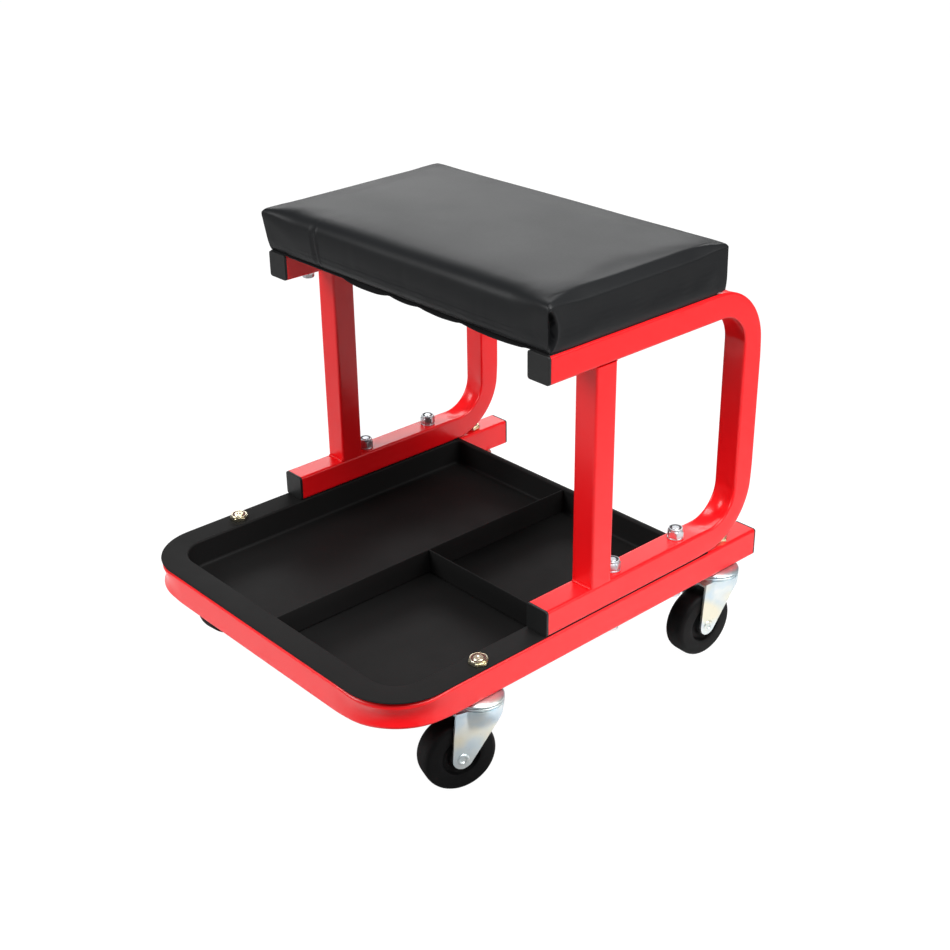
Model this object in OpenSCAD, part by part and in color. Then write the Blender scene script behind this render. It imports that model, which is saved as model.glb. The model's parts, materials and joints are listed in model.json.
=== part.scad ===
// Rolling workshop seat: a bent tube base with a tool tray, two bent arches that
// carry a padded seat, and four swivel castors on threaded stems.
// Origin: on the floor, below the middle of the seat's length and width.
// +X is the right side, +Y is the back, +Z is up. Millimetres.

/* [Base frame] */
// Width over the two base rails
base_w = 380; // [360:1:420]
// How far the base's rails reach past the back of the arches
rail_tail = 11; // [4:0.5:40]
// Width of the square tube that all rails, arches and posts are bent from
tube_w = 25; // [24:0.5:28]
// Height of the base tube, which is a taller section
base_tube_h = 28; // [27:0.5:32]
// Wall of the tubes
tube_wall = 1.5; // [1.2:0.1:2]
// Radius on the tube's long edges
tube_edge_r = 3; // [2:0.25:4]
// Inside radius of the two front bends of the base
base_bend_r = 30; // [26:1:36]

/* [Arches and posts] */
// Height of an arch, bottom of its lower rail to top of its upper rail
arch_h = 260; // [240:1:300]
// Distance from the pad's back edge to the back of the arches
leg_setback = 55; // [45:1:80]
// Distance from the front of the base to the arch plugs
arch_setback = 176; // [150:1:200]
// Inside radius of the arch bends
arch_bend_r = 33; // [31:1:38]
// Distance from the arch plugs to the front of the post
post_setback = 55.5; // [50:0.5:62]
// Thickness of a plastic tube plug's head
plug_head_t = 2.5; // [2:0.1:4]
// How far a plug's shank reaches into its tube
plug_shank = 14; // [10:1:16]

/* [Tool tray] */
// Thickness of the tray's sheet steel
sheet_t = 1.2; // [0.8:0.1:1.5]
// Depth of the tray, flange top to floor top
tray_depth = 27; // [20:0.5:27.5]
// Distance from the tray's rear rim to the rear swivel axes
tray_rear_gap = 28.2; // [20:0.2:60]
// Radius of the tray opening's rear corners
tray_rear_r = 6; // [4:0.5:10]
// Width of the narrow rim behind the rear wall
tray_rear_rim = 5.5; // [4:0.5:8]
// Distance that the flange stays inside the base tube's outer faces
flange_inset = 0.8; // [0.5:0.1:2]
// Distance from the tray's front edge to the cross divider
cross_divider_y = 204; // [150:1:250]
// Width of the foot that each divider stands on
divider_foot = 11; // [8:0.5:14]

/* [Seat pad] */
// Depth of the seat pad, front to back
seat_depth = 220; // [190:1:260]
// How far the pad stands out past the arches at each side
seat_overhang = 0; // [0:0.5:6]
// Height of the pad's side, underside to top edge
seat_side_h = 40; // [34:0.5:50]
// Extra height of the pad's middle
seat_crown = 6; // [3:0.5:10]
// How far the pad's sides swell
seat_bulge = 2.4; // [1:0.1:3]
// How far the pad's edges draw in between the corners
seat_draw_in = 1.6; // [0.5:0.1:3]
// Corner radius of the pad
seat_corner_r = 9; // [7:0.5:12]
// Thickness of the vinyl cover
cover_t = 1.1; // [0.8:0.1:1.5]
// Width of the cover that is folded under the board
cover_hem = 30; // [24:1:34]
// Thickness of the plywood board
board_t = 10; // [9:0.5:12]
// Thickness of the cloth below the board
dust_cloth_t = 0.6; // [0.4:0.1:0.8]

/* [Castors] */
// Diameter of a wheel
wheel_d = 68; // [64:0.5:70]
// Width of a wheel's tread
wheel_w = 22.5; // [20:0.5:24]
// Height from a wheel's axle to the underside of the base
castor_drop = 54.5; // [53:0.25:58]
// Distance from the swivel axis to the wheel's axle
castor_trail = 22.3; // [20:0.1:24]
// Distance from the front of the base to the front swivel axes
front_castor_y = 108; // [90:1:125]
// Directions in which the wheels stand: front right, front left, rear right, rear left
headings = [253, 276, 266, 262]; // [0:1:360]
// Thickness of the fork's steel
fork_t = 2.2; // [2:0.1:2.8]
// Radius of the swivel's ball race cup
race_r = 22; // [20.5:0.25:24]
// Diameter of a ball in the swivel
ball_d = 4; // [3.5:0.1:4.4]
// Number of balls in a swivel
ball_count = 14; // [10:1:16]

/* [Fasteners] */
// Diameter of the castor stems
stem_d = 10; // [8:0.5:10.5]
// Diameter of the bolts that hold the arches to the base
arch_bolt_d = 8; // [6:0.5:8]
// Diameter of the bolts that hold the seat
seat_bolt_d = 6; // [5:0.5:6]
// Distance from the back of a post to the first arch bolt
arch_bolt_gap = 14.5; // [11:0.5:20]
// Distance from the second arch bolt to the start of the lower bend
arch_bolt_setback = 36; // [12:1:60]
// Distance from the arch plugs to the front seat bolts
seat_bolt_front = 32; // [26:1:42]
// Distance from the pad's back edge to the rear seat bolts
seat_bolt_rear = 36; // [30:1:60]

/* [Hidden] */
$fn = 48;
// One overrun serves every cut
over = 1;
// Slip between a plug and the tube that it is pushed into
plug_slip = 0.15;
// Clearance of a bolt or stem in its hole
hole_slip = 0.3;
// Radial clearance of a running fit
run_fit = 0.05;
// Gap that is left between pieces that turn past each other
turn_gap = 0.4;
// Gap between the tray's walls and the base tube
tray_gap = 0.3;

// Heights
base_z = wheel_d / 2 + castor_drop;
base_top = base_z + base_tube_h;
flange_top = base_top + sheet_t;
arch_top = flange_top + arch_h;

// Places along the length. The rear castors stand below the lower bends, so that
// their nuts clear them: the share is of a bend's outer radius, from its back.
base_plug_t = 2;
rear_castor_share = 0.51;
bend_outer_r = arch_bend_r + tube_w;
arch_depth = seat_depth + leg_setback;
base_len = arch_setback + arch_depth + rail_tail;
front_y = -(base_len + base_plug_t) / 2;
rail_end = front_y + base_len;
arch_y = front_y + arch_setback;
arch_back = arch_y + arch_depth;
post_y = arch_y + post_setback;
arch_bolt_ys = [post_y + tube_w + arch_bolt_gap, arch_back - bend_outer_r - arch_bolt_setback];
tray_y = front_y + flange_inset;
rail_x = base_w / 2 - tube_w / 2;
castor_front_y = front_y + front_castor_y;
castor_rear_y = arch_back - rear_castor_share * bend_outer_r;

// The seat
seat_w = base_w + 2 * seat_overhang;
seat_y = arch_y + seat_depth / 2;
seat_bolt_ys = [arch_y + seat_bolt_front, arch_y + seat_depth - seat_bolt_rear];
seat_bolt_x = rail_x - 0.8 * seat_bolt_d;
seat_z = arch_top + dust_cloth_t;
board_z = seat_z + cover_t;
board_top = board_z + board_t;
board_slip = 0.4;
hem_staple_pitch = 34;
staple_w = 10;
staple_wire = 1.1;
staple_leg = 7;
cloth_margin = 4;

// Outline of the pad's side as shares: of the side's height, and of the swell
side_shares = [[0, -0.9], [0.05, -0.2], [0.22, 0.25], [0.5, 0.8], [0.7, 1], [0.83, 0.75],
               [0.91, -0.1], [0.965, -1.5]];
// Rings over the top, as shares of the way from the edge to the ridge
top_shares = [0.05, 0.12, 0.24, 0.42, 0.65, 0.9];

// Fasteners
arch_nut_flats = 1.625 * arch_bolt_d;
arch_nut_h = 0.9 * arch_bolt_d;
arch_nut_collar = 0.26 * arch_bolt_d;
arch_washer_r = arch_bolt_d;
arch_washer_t = 1.6;
arch_head_h = 0.66 * arch_bolt_d;
arch_bolt_tail = 1.2;
stem_nut_flats = 1.6 * stem_d;
stem_nut_h = 0.36 * stem_d;
stem_nut_collar = 0.12 * stem_d;
stem_tail = 0.4;
seat_head_h = 0.66 * seat_bolt_d;
seat_head_flats = 1.667 * seat_bolt_d;
seat_washer_r = seat_bolt_d;
seat_washer_t = 1.2;
tee_flange_r = 1.25 * seat_bolt_d;
tee_flange_t = 1.2;
tee_barrel_r = 0.75 * seat_bolt_d;
tee_barrel = 0.8 * board_t;

// The swivel, measured down from the underside of the base
cup_t = 1.5;
cup_rim = 3.6;
cup_wall = 1.8;
dish_top = 4.2;
dish_track = 6.05;
dish_wall = 2.4;
ball_margin = 1;
plate_top = 8.5;
pin_head_r = 0.85 * stem_d;
pin_head_t = 2.4;
ball_ring_r = race_r - dish_wall - ball_d / 2 - ball_margin;

// The fork and the wheel
hub_gap = 0.5;
hub_step = 0.7;
hub_w = wheel_w + 2 * hub_step;
fork_in = hub_w + 2 * hub_gap;
fork_out = fork_in + 2 * fork_t;
fork_nose = 5.8;
fork_front = castor_trail + fork_nose;
fork_end_r = 9.6;
axle_r = 4;
axle_head_r = 5.6;
axle_head_t = 1.3;
bush_r = 6;
hub_r = 10.5;
hub_chamfer = 1;
hub_web_r = 18.5;
recess_depth = 4.5;
recess_slope = 1.6;
tread_bevel = 2.6;
// The round end of a fork leg runs between these two headings
fork_end_turns = [212, 358];
// Rear edge of a fork leg: shares of the way from race edge to axle, and of the drop
leg_rear_shares = [[0.08, 0.13], [0.2, 0.36], [0.33, 0.52], [0.5, 0.68]];

CORNERS = ["fr", "fl", "rr", "rl"];

// Points of an arc of radius r about c, from angle a0 to a1
function arc(c, r, a0, a1, steps) =
    [for (i = [0 : steps]) let (a = a0 + (a1 - a0) * i / steps) c + r * [cos(a), sin(a)]];

// A rectangle about the origin with every corner rounded
function round_rect(w, h, r, steps = 4) = concat(
    arc([w / 2 - r, h / 2 - r], r, 0, 90, steps), arc([r - w / 2, h / 2 - r], r, 90, 180, steps),
    arc([r - w / 2, r - h / 2], r, 180, 270, steps), arc([w / 2 - r, r - h / 2], r, 270, 360, steps));

// A tray outline: half width hw, from y0 to y1, with its own front and rear radii
function tray_outline(hw, y0, y1, front_r, rear_r) = concat(
    arc([hw - front_r, y0 + front_r], front_r, -90, 0, 12),
    arc([hw - rear_r, y1 - rear_r], rear_r, 0, 90, 5),
    arc([rear_r - hw, y1 - rear_r], rear_r, 90, 180, 5),
    arc([front_r - hw, y0 + front_r], front_r, 180, 270, 12));

// Tubes. Each takes an inset: 0 for the outside, the wall for the bore.
module tube_section(w, h, inset) {
    polygon(round_rect(w - 2 * inset, h - 2 * inset, tube_edge_r - inset * 0.9));
}

module bend(w, h, inner_r, inset) {
    rotate_extrude(angle = 90, $fn = 64)
        translate([inner_r + w / 2, 0]) tube_section(w, h, inset);
}

module base_path(inset) {
    outer_r = base_bend_r + tube_w;
    ends = inset > 0 ? over : 0;
    translate([0, 0, base_z + base_tube_h / 2]) {
        for (side = [-1, 1]) {
            translate([side * rail_x, rail_end + ends, 0]) rotate([90, 0, 0])
                linear_extrude(rail_end + ends - front_y - outer_r)
                    tube_section(tube_w, base_tube_h, inset);
            translate([side * (base_w / 2 - outer_r), front_y + outer_r, 0])
                rotate([0, 0, side > 0 ? 270 : 180]) bend(tube_w, base_tube_h, base_bend_r, inset);
        }
        translate([outer_r - base_w / 2, front_y + tube_w / 2, 0]) rotate([90, 0, 90])
            linear_extrude(base_w - 2 * outer_r) tube_section(tube_w, base_tube_h, inset);
    }
}

// An arch in its own plane: x runs back, y runs up, the tube is centred on z
module arch_path(inset) {
    ends = inset > 0 ? over : 0;
    rail = arch_depth - bend_outer_r - plug_head_t;
    for (y = [tube_w / 2, arch_h - tube_w / 2])
        translate([plug_head_t - ends, y, 0]) rotate([90, 0, 90])
            linear_extrude(rail + ends) tube_section(tube_w, tube_w, inset);
    translate([arch_depth - bend_outer_r, bend_outer_r, 0])
        rotate([0, 0, 270]) bend(tube_w, tube_w, arch_bend_r, inset);
    translate([arch_depth - bend_outer_r, arch_h - bend_outer_r, 0])
        bend(tube_w, tube_w, arch_bend_r, inset);
    translate([arch_depth - tube_w / 2, bend_outer_r, 0]) rotate([-90, 0, 0])
        linear_extrude(arch_h - 2 * bend_outer_r) tube_section(tube_w, tube_w, inset);
}

// Holes that several pieces share
module arch_bolt_places() {
    for (side = [-1, 1], y = arch_bolt_ys) translate([side * rail_x, y, 0]) children();
}

module seat_bolt_places() {
    for (side = [-1, 1], y = seat_bolt_ys) translate([side * seat_bolt_x, y, 0]) children();
}

module castor_places(which = [0, 1, 2, 3]) {
    for (i = which)
        translate([i % 2 == 0 ? rail_x : -rail_x, i < 2 ? castor_front_y : castor_rear_y, base_z])
            rotate([0, 0, headings[i]]) children();
}

module arch_bolt_holes() {
    arch_bolt_places() translate([0, 0, base_z - over])
        cylinder(h = base_tube_h + sheet_t + tube_w + 2 * over, r = arch_bolt_d / 2 + hole_slip);
}

module stem_holes() {
    castor_places() translate([0, 0, -over])
        cylinder(h = base_tube_h + sheet_t + 2 * over, r = stem_d / 2 + hole_slip);
}

module base_frame() {
    color("#e0242c") difference() {
        base_path(0);
        base_path(tube_wall);
        arch_bolt_holes();
        stem_holes();
    }
}

// A plug: a head with a soft edge, and a ribbed hollow shank that points along -z
module tube_plug(w, h, head_t) {
    bore_w = w - 2 * tube_wall - 2 * plug_slip;
    bore_h = h - 2 * tube_wall - 2 * plug_slip;
    rib = 0.6;
    edge = head_t * 0.32;
    rib_t = 1.2;
    shank_wall = 1.8;
    linear_extrude(head_t - edge) polygon(round_rect(w, h, tube_edge_r));
    translate([0, 0, head_t - edge]) linear_extrude(edge)
        polygon(round_rect(w - 2 * edge, h - 2 * edge, tube_edge_r - edge));
    difference() {
        union() {
            translate([0, 0, -plug_shank]) linear_extrude(plug_shank)
                polygon(round_rect(bore_w - 2 * rib, bore_h - 2 * rib, tube_edge_r - tube_wall));
            for (i = [1 : 3]) translate([0, 0, -plug_shank * i / 3.4 - rib_t / 2])
                linear_extrude(rib_t) polygon(round_rect(bore_w, bore_h, tube_edge_r - tube_wall));
        }
        translate([0, 0, -plug_shank - over]) linear_extrude(plug_shank + over)
            square([bore_w - 2 * rib - 2 * shank_wall, bore_h - 2 * rib - 2 * shank_wall],
                   center = true);
    }
}

module base_plug(side) {
    color("#26282a") translate([side * rail_x, rail_end, base_z + base_tube_h / 2])
        rotate([-90, 0, 0]) tube_plug(tube_w, base_tube_h, base_plug_t);
}

module arch_plug(side, z) {
    color("#26282a") translate([side * rail_x, arch_y + plug_head_t, z])
        rotate([90, 0, 0]) tube_plug(tube_w, tube_w, plug_head_t);
}

// The tray: a pan with a flange on three sides and a folded rim at the back
tray_hw = rail_x - tube_w / 2 - tray_gap - sheet_t;
tray_front_r = base_bend_r - tray_gap - sheet_t;
flange_hw = base_w / 2 - flange_inset;
flange_w = flange_hw - tray_hw;
opening_y = tray_y + flange_w;
tray_back = castor_rear_y - tray_rear_gap;
wall_back = tray_back - tray_rear_rim;
rim_drop = 5;
floor_z = flange_top - tray_depth;

module tool_tray() {
    color("#232324") difference() {
        union() {
            translate([0, 0, base_top]) linear_extrude(sheet_t)
                polygon(tray_outline(flange_hw, tray_y, tray_back, tray_front_r + flange_w, sheet_t));
            translate([0, 0, floor_z - sheet_t]) linear_extrude(tray_depth)
                polygon(tray_outline(tray_hw + sheet_t, opening_y - sheet_t, wall_back + sheet_t,
                                     tray_front_r + sheet_t, tray_rear_r + sheet_t));
            translate([-tray_hw, tray_back - sheet_t, flange_top - rim_drop])
                cube([2 * tray_hw, sheet_t, rim_drop - sheet_t / 2]);
        }
        translate([0, 0, floor_z]) linear_extrude(tray_depth + over)
            polygon(tray_outline(tray_hw, opening_y, wall_back, tray_front_r, tray_rear_r));
        arch_bolt_holes();
        stem_holes();
    }
}

divider_h = tray_depth - sheet_t;

module long_divider() {
    color("#232324") translate([0, opening_y, floor_z]) {
        translate([-sheet_t / 2, 0, 0]) cube([sheet_t, wall_back - opening_y, divider_h]);
        translate([-sheet_t / 2 - divider_foot, tray_front_r, 0])
            cube([divider_foot + sheet_t / 2, wall_back - opening_y - 2 * tray_front_r, sheet_t]);
    }
}

module cross_divider() {
    color("#232324") translate([sheet_t / 2, tray_y + cross_divider_y, floor_z]) {
        cube([tray_hw - sheet_t / 2, sheet_t, divider_h]);
        translate([divider_foot, 0, 0])
            cube([tray_hw - sheet_t / 2 - 2 * divider_foot, divider_foot, sheet_t]);
    }
}

module arch(side) {
    color("#e0242c") difference() {
        translate([side * rail_x, arch_y, flange_top]) rotate([90, 0, 90]) difference() {
            arch_path(0);
            arch_path(tube_wall);
        }
        arch_bolt_holes();
        seat_bolt_places() translate([0, 0, arch_top - tube_w - over])
            cylinder(h = tube_w + 2 * over, r = seat_bolt_d / 2 + hole_slip);
    }
}

module post(side) {
    color("#e0242c") translate([side * rail_x, post_y + tube_w / 2, flange_top + tube_w])
        linear_extrude(arch_h - 2 * tube_w) difference() {
            tube_section(tube_w, tube_w, 0);
            tube_section(tube_w, tube_w, tube_wall);
        }
}

// A hexagon whose corners are turned off at its top end
module hex_body(flats, h) {
    corner_r = flats / 2 / cos(30);
    intersection() {
        cylinder(h = h, r = corner_r, $fn = 6);
        union() {
            cylinder(h = h * 0.86, r = corner_r + over);
            translate([0, 0, h * 0.86]) cylinder(h = h * 0.14, r1 = corner_r, r2 = flats / 2 * 0.97);
        }
    }
}

// A lock nut: a hexagon below a round collar
module lock_nut(flats, h, collar, hole_r) {
    difference() {
        union() {
            hex_body(flats, h);
            translate([0, 0, h]) cylinder(h = collar, r1 = flats * 0.46, r2 = flats * 0.4);
        }
        translate([0, 0, -over]) cylinder(h = h + collar + 2 * over, r = hole_r);
    }
}

module washer(r, hole_r, t) {
    difference() {
        cylinder(h = t, r = r);
        translate([0, 0, -over]) cylinder(h = t + 2 * over, r = hole_r);
    }
}

arch_seat_z = flange_top + tube_w + arch_washer_t;

module arch_bolts() {
    shank = arch_seat_z + arch_nut_h + arch_nut_collar + arch_bolt_tail - base_z + arch_washer_t;
    color("silver") arch_bolt_places() translate([0, 0, base_z - arch_washer_t]) {
        cylinder(h = shank, r = arch_bolt_d / 2);
        rotate([180, 0, 0]) hex_body(arch_nut_flats, arch_head_h);
    }
}

module arch_washers() {
    color("silver") arch_bolt_places() for (z = [base_z - arch_washer_t, flange_top + tube_w])
        translate([0, 0, z]) washer(arch_washer_r, arch_bolt_d / 2 + hole_slip, arch_washer_t);
}

module arch_nuts() {
    color("silver") arch_bolt_places() translate([0, 0, arch_seat_z])
        lock_nut(arch_nut_flats, arch_nut_h, arch_nut_collar, arch_bolt_d / 2);
}

// One ring of the pad's outline: w by d, corner radius r, drawn in between the corners
function drawn(p, w, d, pull) =
    [p[0] - sign(p[0]) * pull * (1 - pow(2 * p[1] / d, 2)) * (abs(p[0]) > w / 2 - over ? 1 : 0),
     p[1] - sign(p[1]) * pull * (1 - pow(2 * p[0] / w, 2)) * (abs(p[1]) > d / 2 - over ? 1 : 0)];

function pad_outline(w, d, r, pull) =
    let (x = w / 2 - r, y = d / 2 - r)
    [for (p = concat(
        arc([x, y], r, 0, 90, 4), [for (i = [1 : 6]) [x - 2 * x * i / 7, d / 2]],
        arc([-x, y], r, 90, 180, 4), [for (i = [1 : 3]) [-w / 2, y - 2 * y * i / 4]],
        arc([-x, -y], r, 180, 270, 4), [for (i = [1 : 6]) [2 * x * i / 7 - x, -d / 2]],
        arc([x, -y], r, 270, 360, 4), [for (i = [1 : 3]) [w / 2, 2 * y * i / 4 - y]]))
        drawn(p, w, d, pull)];

// Rings of the whole pad, made smaller all round by skin
function pad_rings(skin) = concat(
    [for (s = side_shares)
        let (in = skin - s[1] * seat_bulge, w = seat_w - 2 * seat_bulge - 2 * in,
             d = seat_depth - 2 * seat_bulge - 2 * in)
        [for (p = pad_outline(w, d, max(seat_corner_r - in, over), seat_draw_in))
            [p[0], p[1], skin + s[0] * (seat_side_h - 2 * skin)]]],
    [for (t = top_shares)
        let (in = skin + seat_bulge * 1.5 + t * (seat_depth / 2 - 3 * seat_bulge),
             w = seat_w - 2 * seat_bulge - 2 * in, d = seat_depth - 2 * seat_bulge - 2 * in)
        [for (p = pad_outline(w, d, max(seat_corner_r - in, over), seat_draw_in * (1 - t)))
            [p[0], p[1], seat_side_h - skin + seat_crown * sin(90 * pow(t, 0.8))]]]);

module ring_solid(rings) {
    n = len(rings[0]);
    m = len(rings);
    polyhedron(
        points = [for (ring = rings) each ring],
        faces = concat(
            [[for (i = [0 : n - 1]) i]],
            [for (k = [0 : m - 2], i = [0 : n - 1]) let (j = (i + 1) % n)
                each [[k * n + i, (k + 1) * n + i, (k + 1) * n + j],
                      [k * n + i, (k + 1) * n + j, k * n + j]]],
            [[for (i = [n - 1 : -1 : 0]) (m - 1) * n + i]]),
        convexity = 4);
}

board_inset = seat_bulge * (1 - side_shares[0][1]) + cover_t + board_slip + seat_draw_in;
board_w = seat_w - 2 * board_inset;
board_d = seat_depth - 2 * board_inset;

module seat_board() {
    color("#c9a873") difference() {
        translate([0, seat_y, board_z]) linear_extrude(board_t)
            polygon(round_rect(board_w, board_d, seat_corner_r));
        seat_bolt_places() {
            translate([0, 0, board_z - over]) cylinder(h = board_t + 2 * over, r = tee_barrel_r);
            translate([0, 0, board_top - tee_flange_t])
                cylinder(h = tee_flange_t + over, r = tee_flange_r);
        }
        staple_places() staple_cut();
    }
}

module seat_foam() {
    color("#e8e0b8") difference() {
        translate([0, seat_y, seat_z]) ring_solid(pad_rings(cover_t));
        translate([-seat_w / 2, seat_y - seat_depth / 2, seat_z - over])
            cube([seat_w, seat_depth, board_top - seat_z + over]);
    }
}

module seat_cover() {
    color("#2a2b2d") difference() {
        translate([0, seat_y, seat_z]) ring_solid(pad_rings(0));
        translate([0, seat_y, seat_z]) ring_solid(pad_rings(cover_t));
        translate([0, seat_y, seat_z - over]) linear_extrude(cover_t + 2 * over)
            polygon(round_rect(board_w - 2 * cover_hem, board_d - 2 * cover_hem, seat_corner_r));
        seat_bolt_places() translate([0, 0, seat_z - over])
            cylinder(h = cover_t + 2 * over, r = seat_bolt_d / 2 + hole_slip);
        staple_places() staple_cut();
    }
}

cloth_w = board_w - 2 * cloth_margin;
cloth_d = board_d - 2 * cloth_margin;

module dust_cloth() {
    color("#18191a") difference() {
        translate([0, seat_y, arch_top]) linear_extrude(dust_cloth_t)
            polygon(round_rect(cloth_w, cloth_d, seat_corner_r));
        seat_bolt_places() translate([0, 0, arch_top - over])
            cylinder(h = dust_cloth_t + 2 * over, r = seat_bolt_d / 2 + hole_slip);
        staple_places() staple_cut();
    }
}

// Staples run along the front and back of the cloth, between the arches
module staple_places() {
    run = 2 * rail_x - tube_w - 2 * staple_w;
    count = floor(run / hem_staple_pitch);
    for (end = [-1, 1], i = [0 : count])
        translate([run * (i / count - 0.5), seat_y + end * (cloth_d / 2 - cloth_margin), arch_top])
            children();
}

module staple_cut() {
    for (x = [-1, 1]) translate([x * (staple_w - staple_wire) / 2, 0, 0])
        translate([-staple_wire / 2, -staple_wire / 2, -over])
            cube([staple_wire, staple_wire, over + dust_cloth_t + staple_leg]);
}

module cloth_staples() {
    color("silver") staple_places() {
        translate([-staple_w / 2, -staple_wire / 2, -staple_wire])
            cube([staple_w, staple_wire, staple_wire]);
        for (x = [-1, 1])
            translate([x * (staple_w - staple_wire) / 2 - staple_wire / 2, -staple_wire / 2, 0])
                cube([staple_wire, staple_wire, dust_cloth_t + staple_leg]);
    }
}

module tee_nuts() {
    color("silver") seat_bolt_places() difference() {
        union() {
            translate([0, 0, board_top - tee_flange_t])
                cylinder(h = tee_flange_t, r = tee_flange_r);
            translate([0, 0, board_top - tee_barrel]) cylinder(h = tee_barrel, r = tee_barrel_r);
        }
        translate([0, 0, board_top - tee_barrel - over])
            cylinder(h = tee_barrel + 2 * over, r = seat_bolt_d / 2);
    }
}

module seat_bolts() {
    start = arch_top - tube_w - seat_washer_t;
    color("silver") seat_bolt_places() translate([0, 0, start]) {
        cylinder(h = board_top - start, r = seat_bolt_d / 2);
        rotate([180, 0, 0]) hex_body(seat_head_flats, seat_head_h);
    }
}

module seat_washers() {
    color("silver") seat_bolt_places() translate([0, 0, arch_top - tube_w - seat_washer_t])
        washer(seat_washer_r, seat_bolt_d / 2 + hole_slip, seat_washer_t);
}

// Castors. In a castor's own frame z is 0 at the underside of the base, the
// swivel axis is z, and the wheel stands off along +x.
module stem_nuts() {
    color("#d8cf9a") for (i = [0 : 3]) castor_places([i])
        translate([0, 0, base_tube_h + (i < 2 ? sheet_t : 0)])
            lock_nut(stem_nut_flats, stem_nut_h, stem_nut_collar, stem_d / 2);
}

module stem(i) {
    reach = base_tube_h + (i < 2 ? sheet_t : 0) + stem_nut_h + stem_nut_collar + stem_tail;
    head_z = -plate_top - fork_t - turn_gap;
    color("#d8cf9a") castor_places([i]) {
        translate([0, 0, head_z]) cylinder(h = reach - head_z, r = stem_d / 2);
        translate([0, 0, head_z - pin_head_t])
            cylinder(h = pin_head_t, r1 = pin_head_r * 0.8, r2 = pin_head_r);
    }
}

module race_cup(i) {
    color("#dfe6e2") castor_places([i]) rotate_extrude()
        polygon([[stem_d / 2, 0], [race_r - cup_t, 0], [race_r, -cup_t], [race_r, -cup_rim],
                 [race_r - cup_wall, -cup_rim], [race_r - cup_wall, -cup_t], [stem_d / 2, -cup_t]]);
}

module race_balls(i) {
    color("silver") castor_places([i]) for (k = [0 : ball_count - 1])
        rotate([0, 0, 360 * k / ball_count])
            translate([ball_ring_r, 0, ball_d / 2 - dish_track]) sphere(d = ball_d, $fn = 24);
}

// Side view of a fork leg: x along the trail, y up
function leg_outline() =
    let (axle = [castor_trail, -castor_drop], back = [-race_r * 0.62, -plate_top])
    concat([back],
           [for (s = leg_rear_shares) [back[0] + s[0] * (axle[0] - back[0]),
                                       back[1] + s[1] * (axle[1] - back[1])]],
           arc(axle, fork_end_r, fork_end_turns[0], fork_end_turns[1], 10),
           [[fork_front, -plate_top]]);

module fork_leg() {
    rotate([90, 0, 0]) linear_extrude(fork_t) polygon(leg_outline());
}

module fork(i) {
    color("#dfe6e2") castor_places([i]) difference() {
        union() {
            translate([0, -fork_out / 2, -plate_top - fork_t])
                cube([fork_front, fork_out, fork_t]);
            translate([0, 0, -plate_top - fork_t]) cylinder(h = fork_t, r = fork_out / 2);
            translate([0, 0, -plate_top]) cylinder(h = plate_top - dish_top, r = race_r);
            for (side = [-1, 1]) {
                translate([0, side > 0 ? fork_out / 2 : fork_t - fork_out / 2, 0]) fork_leg();
                intersection() {
                    translate([0, 0, -castor_drop / 2])
                        cylinder(h = castor_drop / 2 - plate_top, r1 = fork_out / 2, r2 = race_r);
                    translate([-race_r, side > 0 ? fork_out / 2 - fork_t : -race_r,
                               -castor_drop / 2])
                        cube([2 * race_r, race_r - fork_out / 2 + fork_t, castor_drop / 2]);
                }
            }
        }
        translate([0, 0, -dish_track]) cylinder(h = dish_track, r = race_r - dish_wall);
        translate([0, 0, -plate_top - fork_t - over])
            cylinder(h = plate_top + fork_t + over, r = stem_d / 2 + run_fit);
        translate([castor_trail, fork_out / 2 + over, -castor_drop]) rotate([90, 0, 0])
            cylinder(h = fork_out + 2 * over, r = axle_r);
    }
}

module axle(i) {
    color("#dfe6e2") castor_places([i])
        translate([castor_trail, -fork_out / 2, -castor_drop]) rotate([-90, 0, 0]) {
            cylinder(h = fork_out, r = axle_r);
            translate([0, 0, -axle_head_t])
                cylinder(h = axle_head_t, r1 = axle_head_r * 0.75, r2 = axle_head_r);
            translate([0, 0, fork_out])
                cylinder(h = axle_head_t, r1 = axle_head_r, r2 = axle_head_r * 0.75);
        }
}

module axle_bush(i) {
    color("silver") castor_places([i])
        translate([castor_trail, -fork_in / 2, -castor_drop]) rotate([-90, 0, 0]) difference() {
            cylinder(h = fork_in, r = bush_r);
            translate([0, 0, -over]) cylinder(h = fork_in + 2 * over, r = axle_r);
        }
}

// Half of the wheel's section, from the bore out and round the tread
function wheel_half() = [
    [bush_r + run_fit, hub_w / 2], [hub_r - hub_chamfer, hub_w / 2],
    [hub_r, hub_w / 2 - hub_chamfer], [hub_r + recess_slope / 2, wheel_w / 2 - recess_depth],
    [hub_web_r - recess_slope, wheel_w / 2 - recess_depth],
    [hub_web_r, wheel_w / 2], [wheel_d / 2 - tread_bevel, wheel_w / 2],
    [wheel_d / 2 - tread_bevel * 0.3, wheel_w / 2 - tread_bevel * 0.42],
    [wheel_d / 2, wheel_w / 2 - tread_bevel]];

module wheel(i) {
    half = wheel_half();
    count = len(half);
    color("#1b1c1d") castor_places([i]) translate([castor_trail, 0, -castor_drop])
        rotate([90, 0, 0]) rotate_extrude($fn = 96)
            polygon(concat(half, [for (k = [count - 1 : -1 : 0]) [half[k][0], -half[k][1]]]));
}

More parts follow.
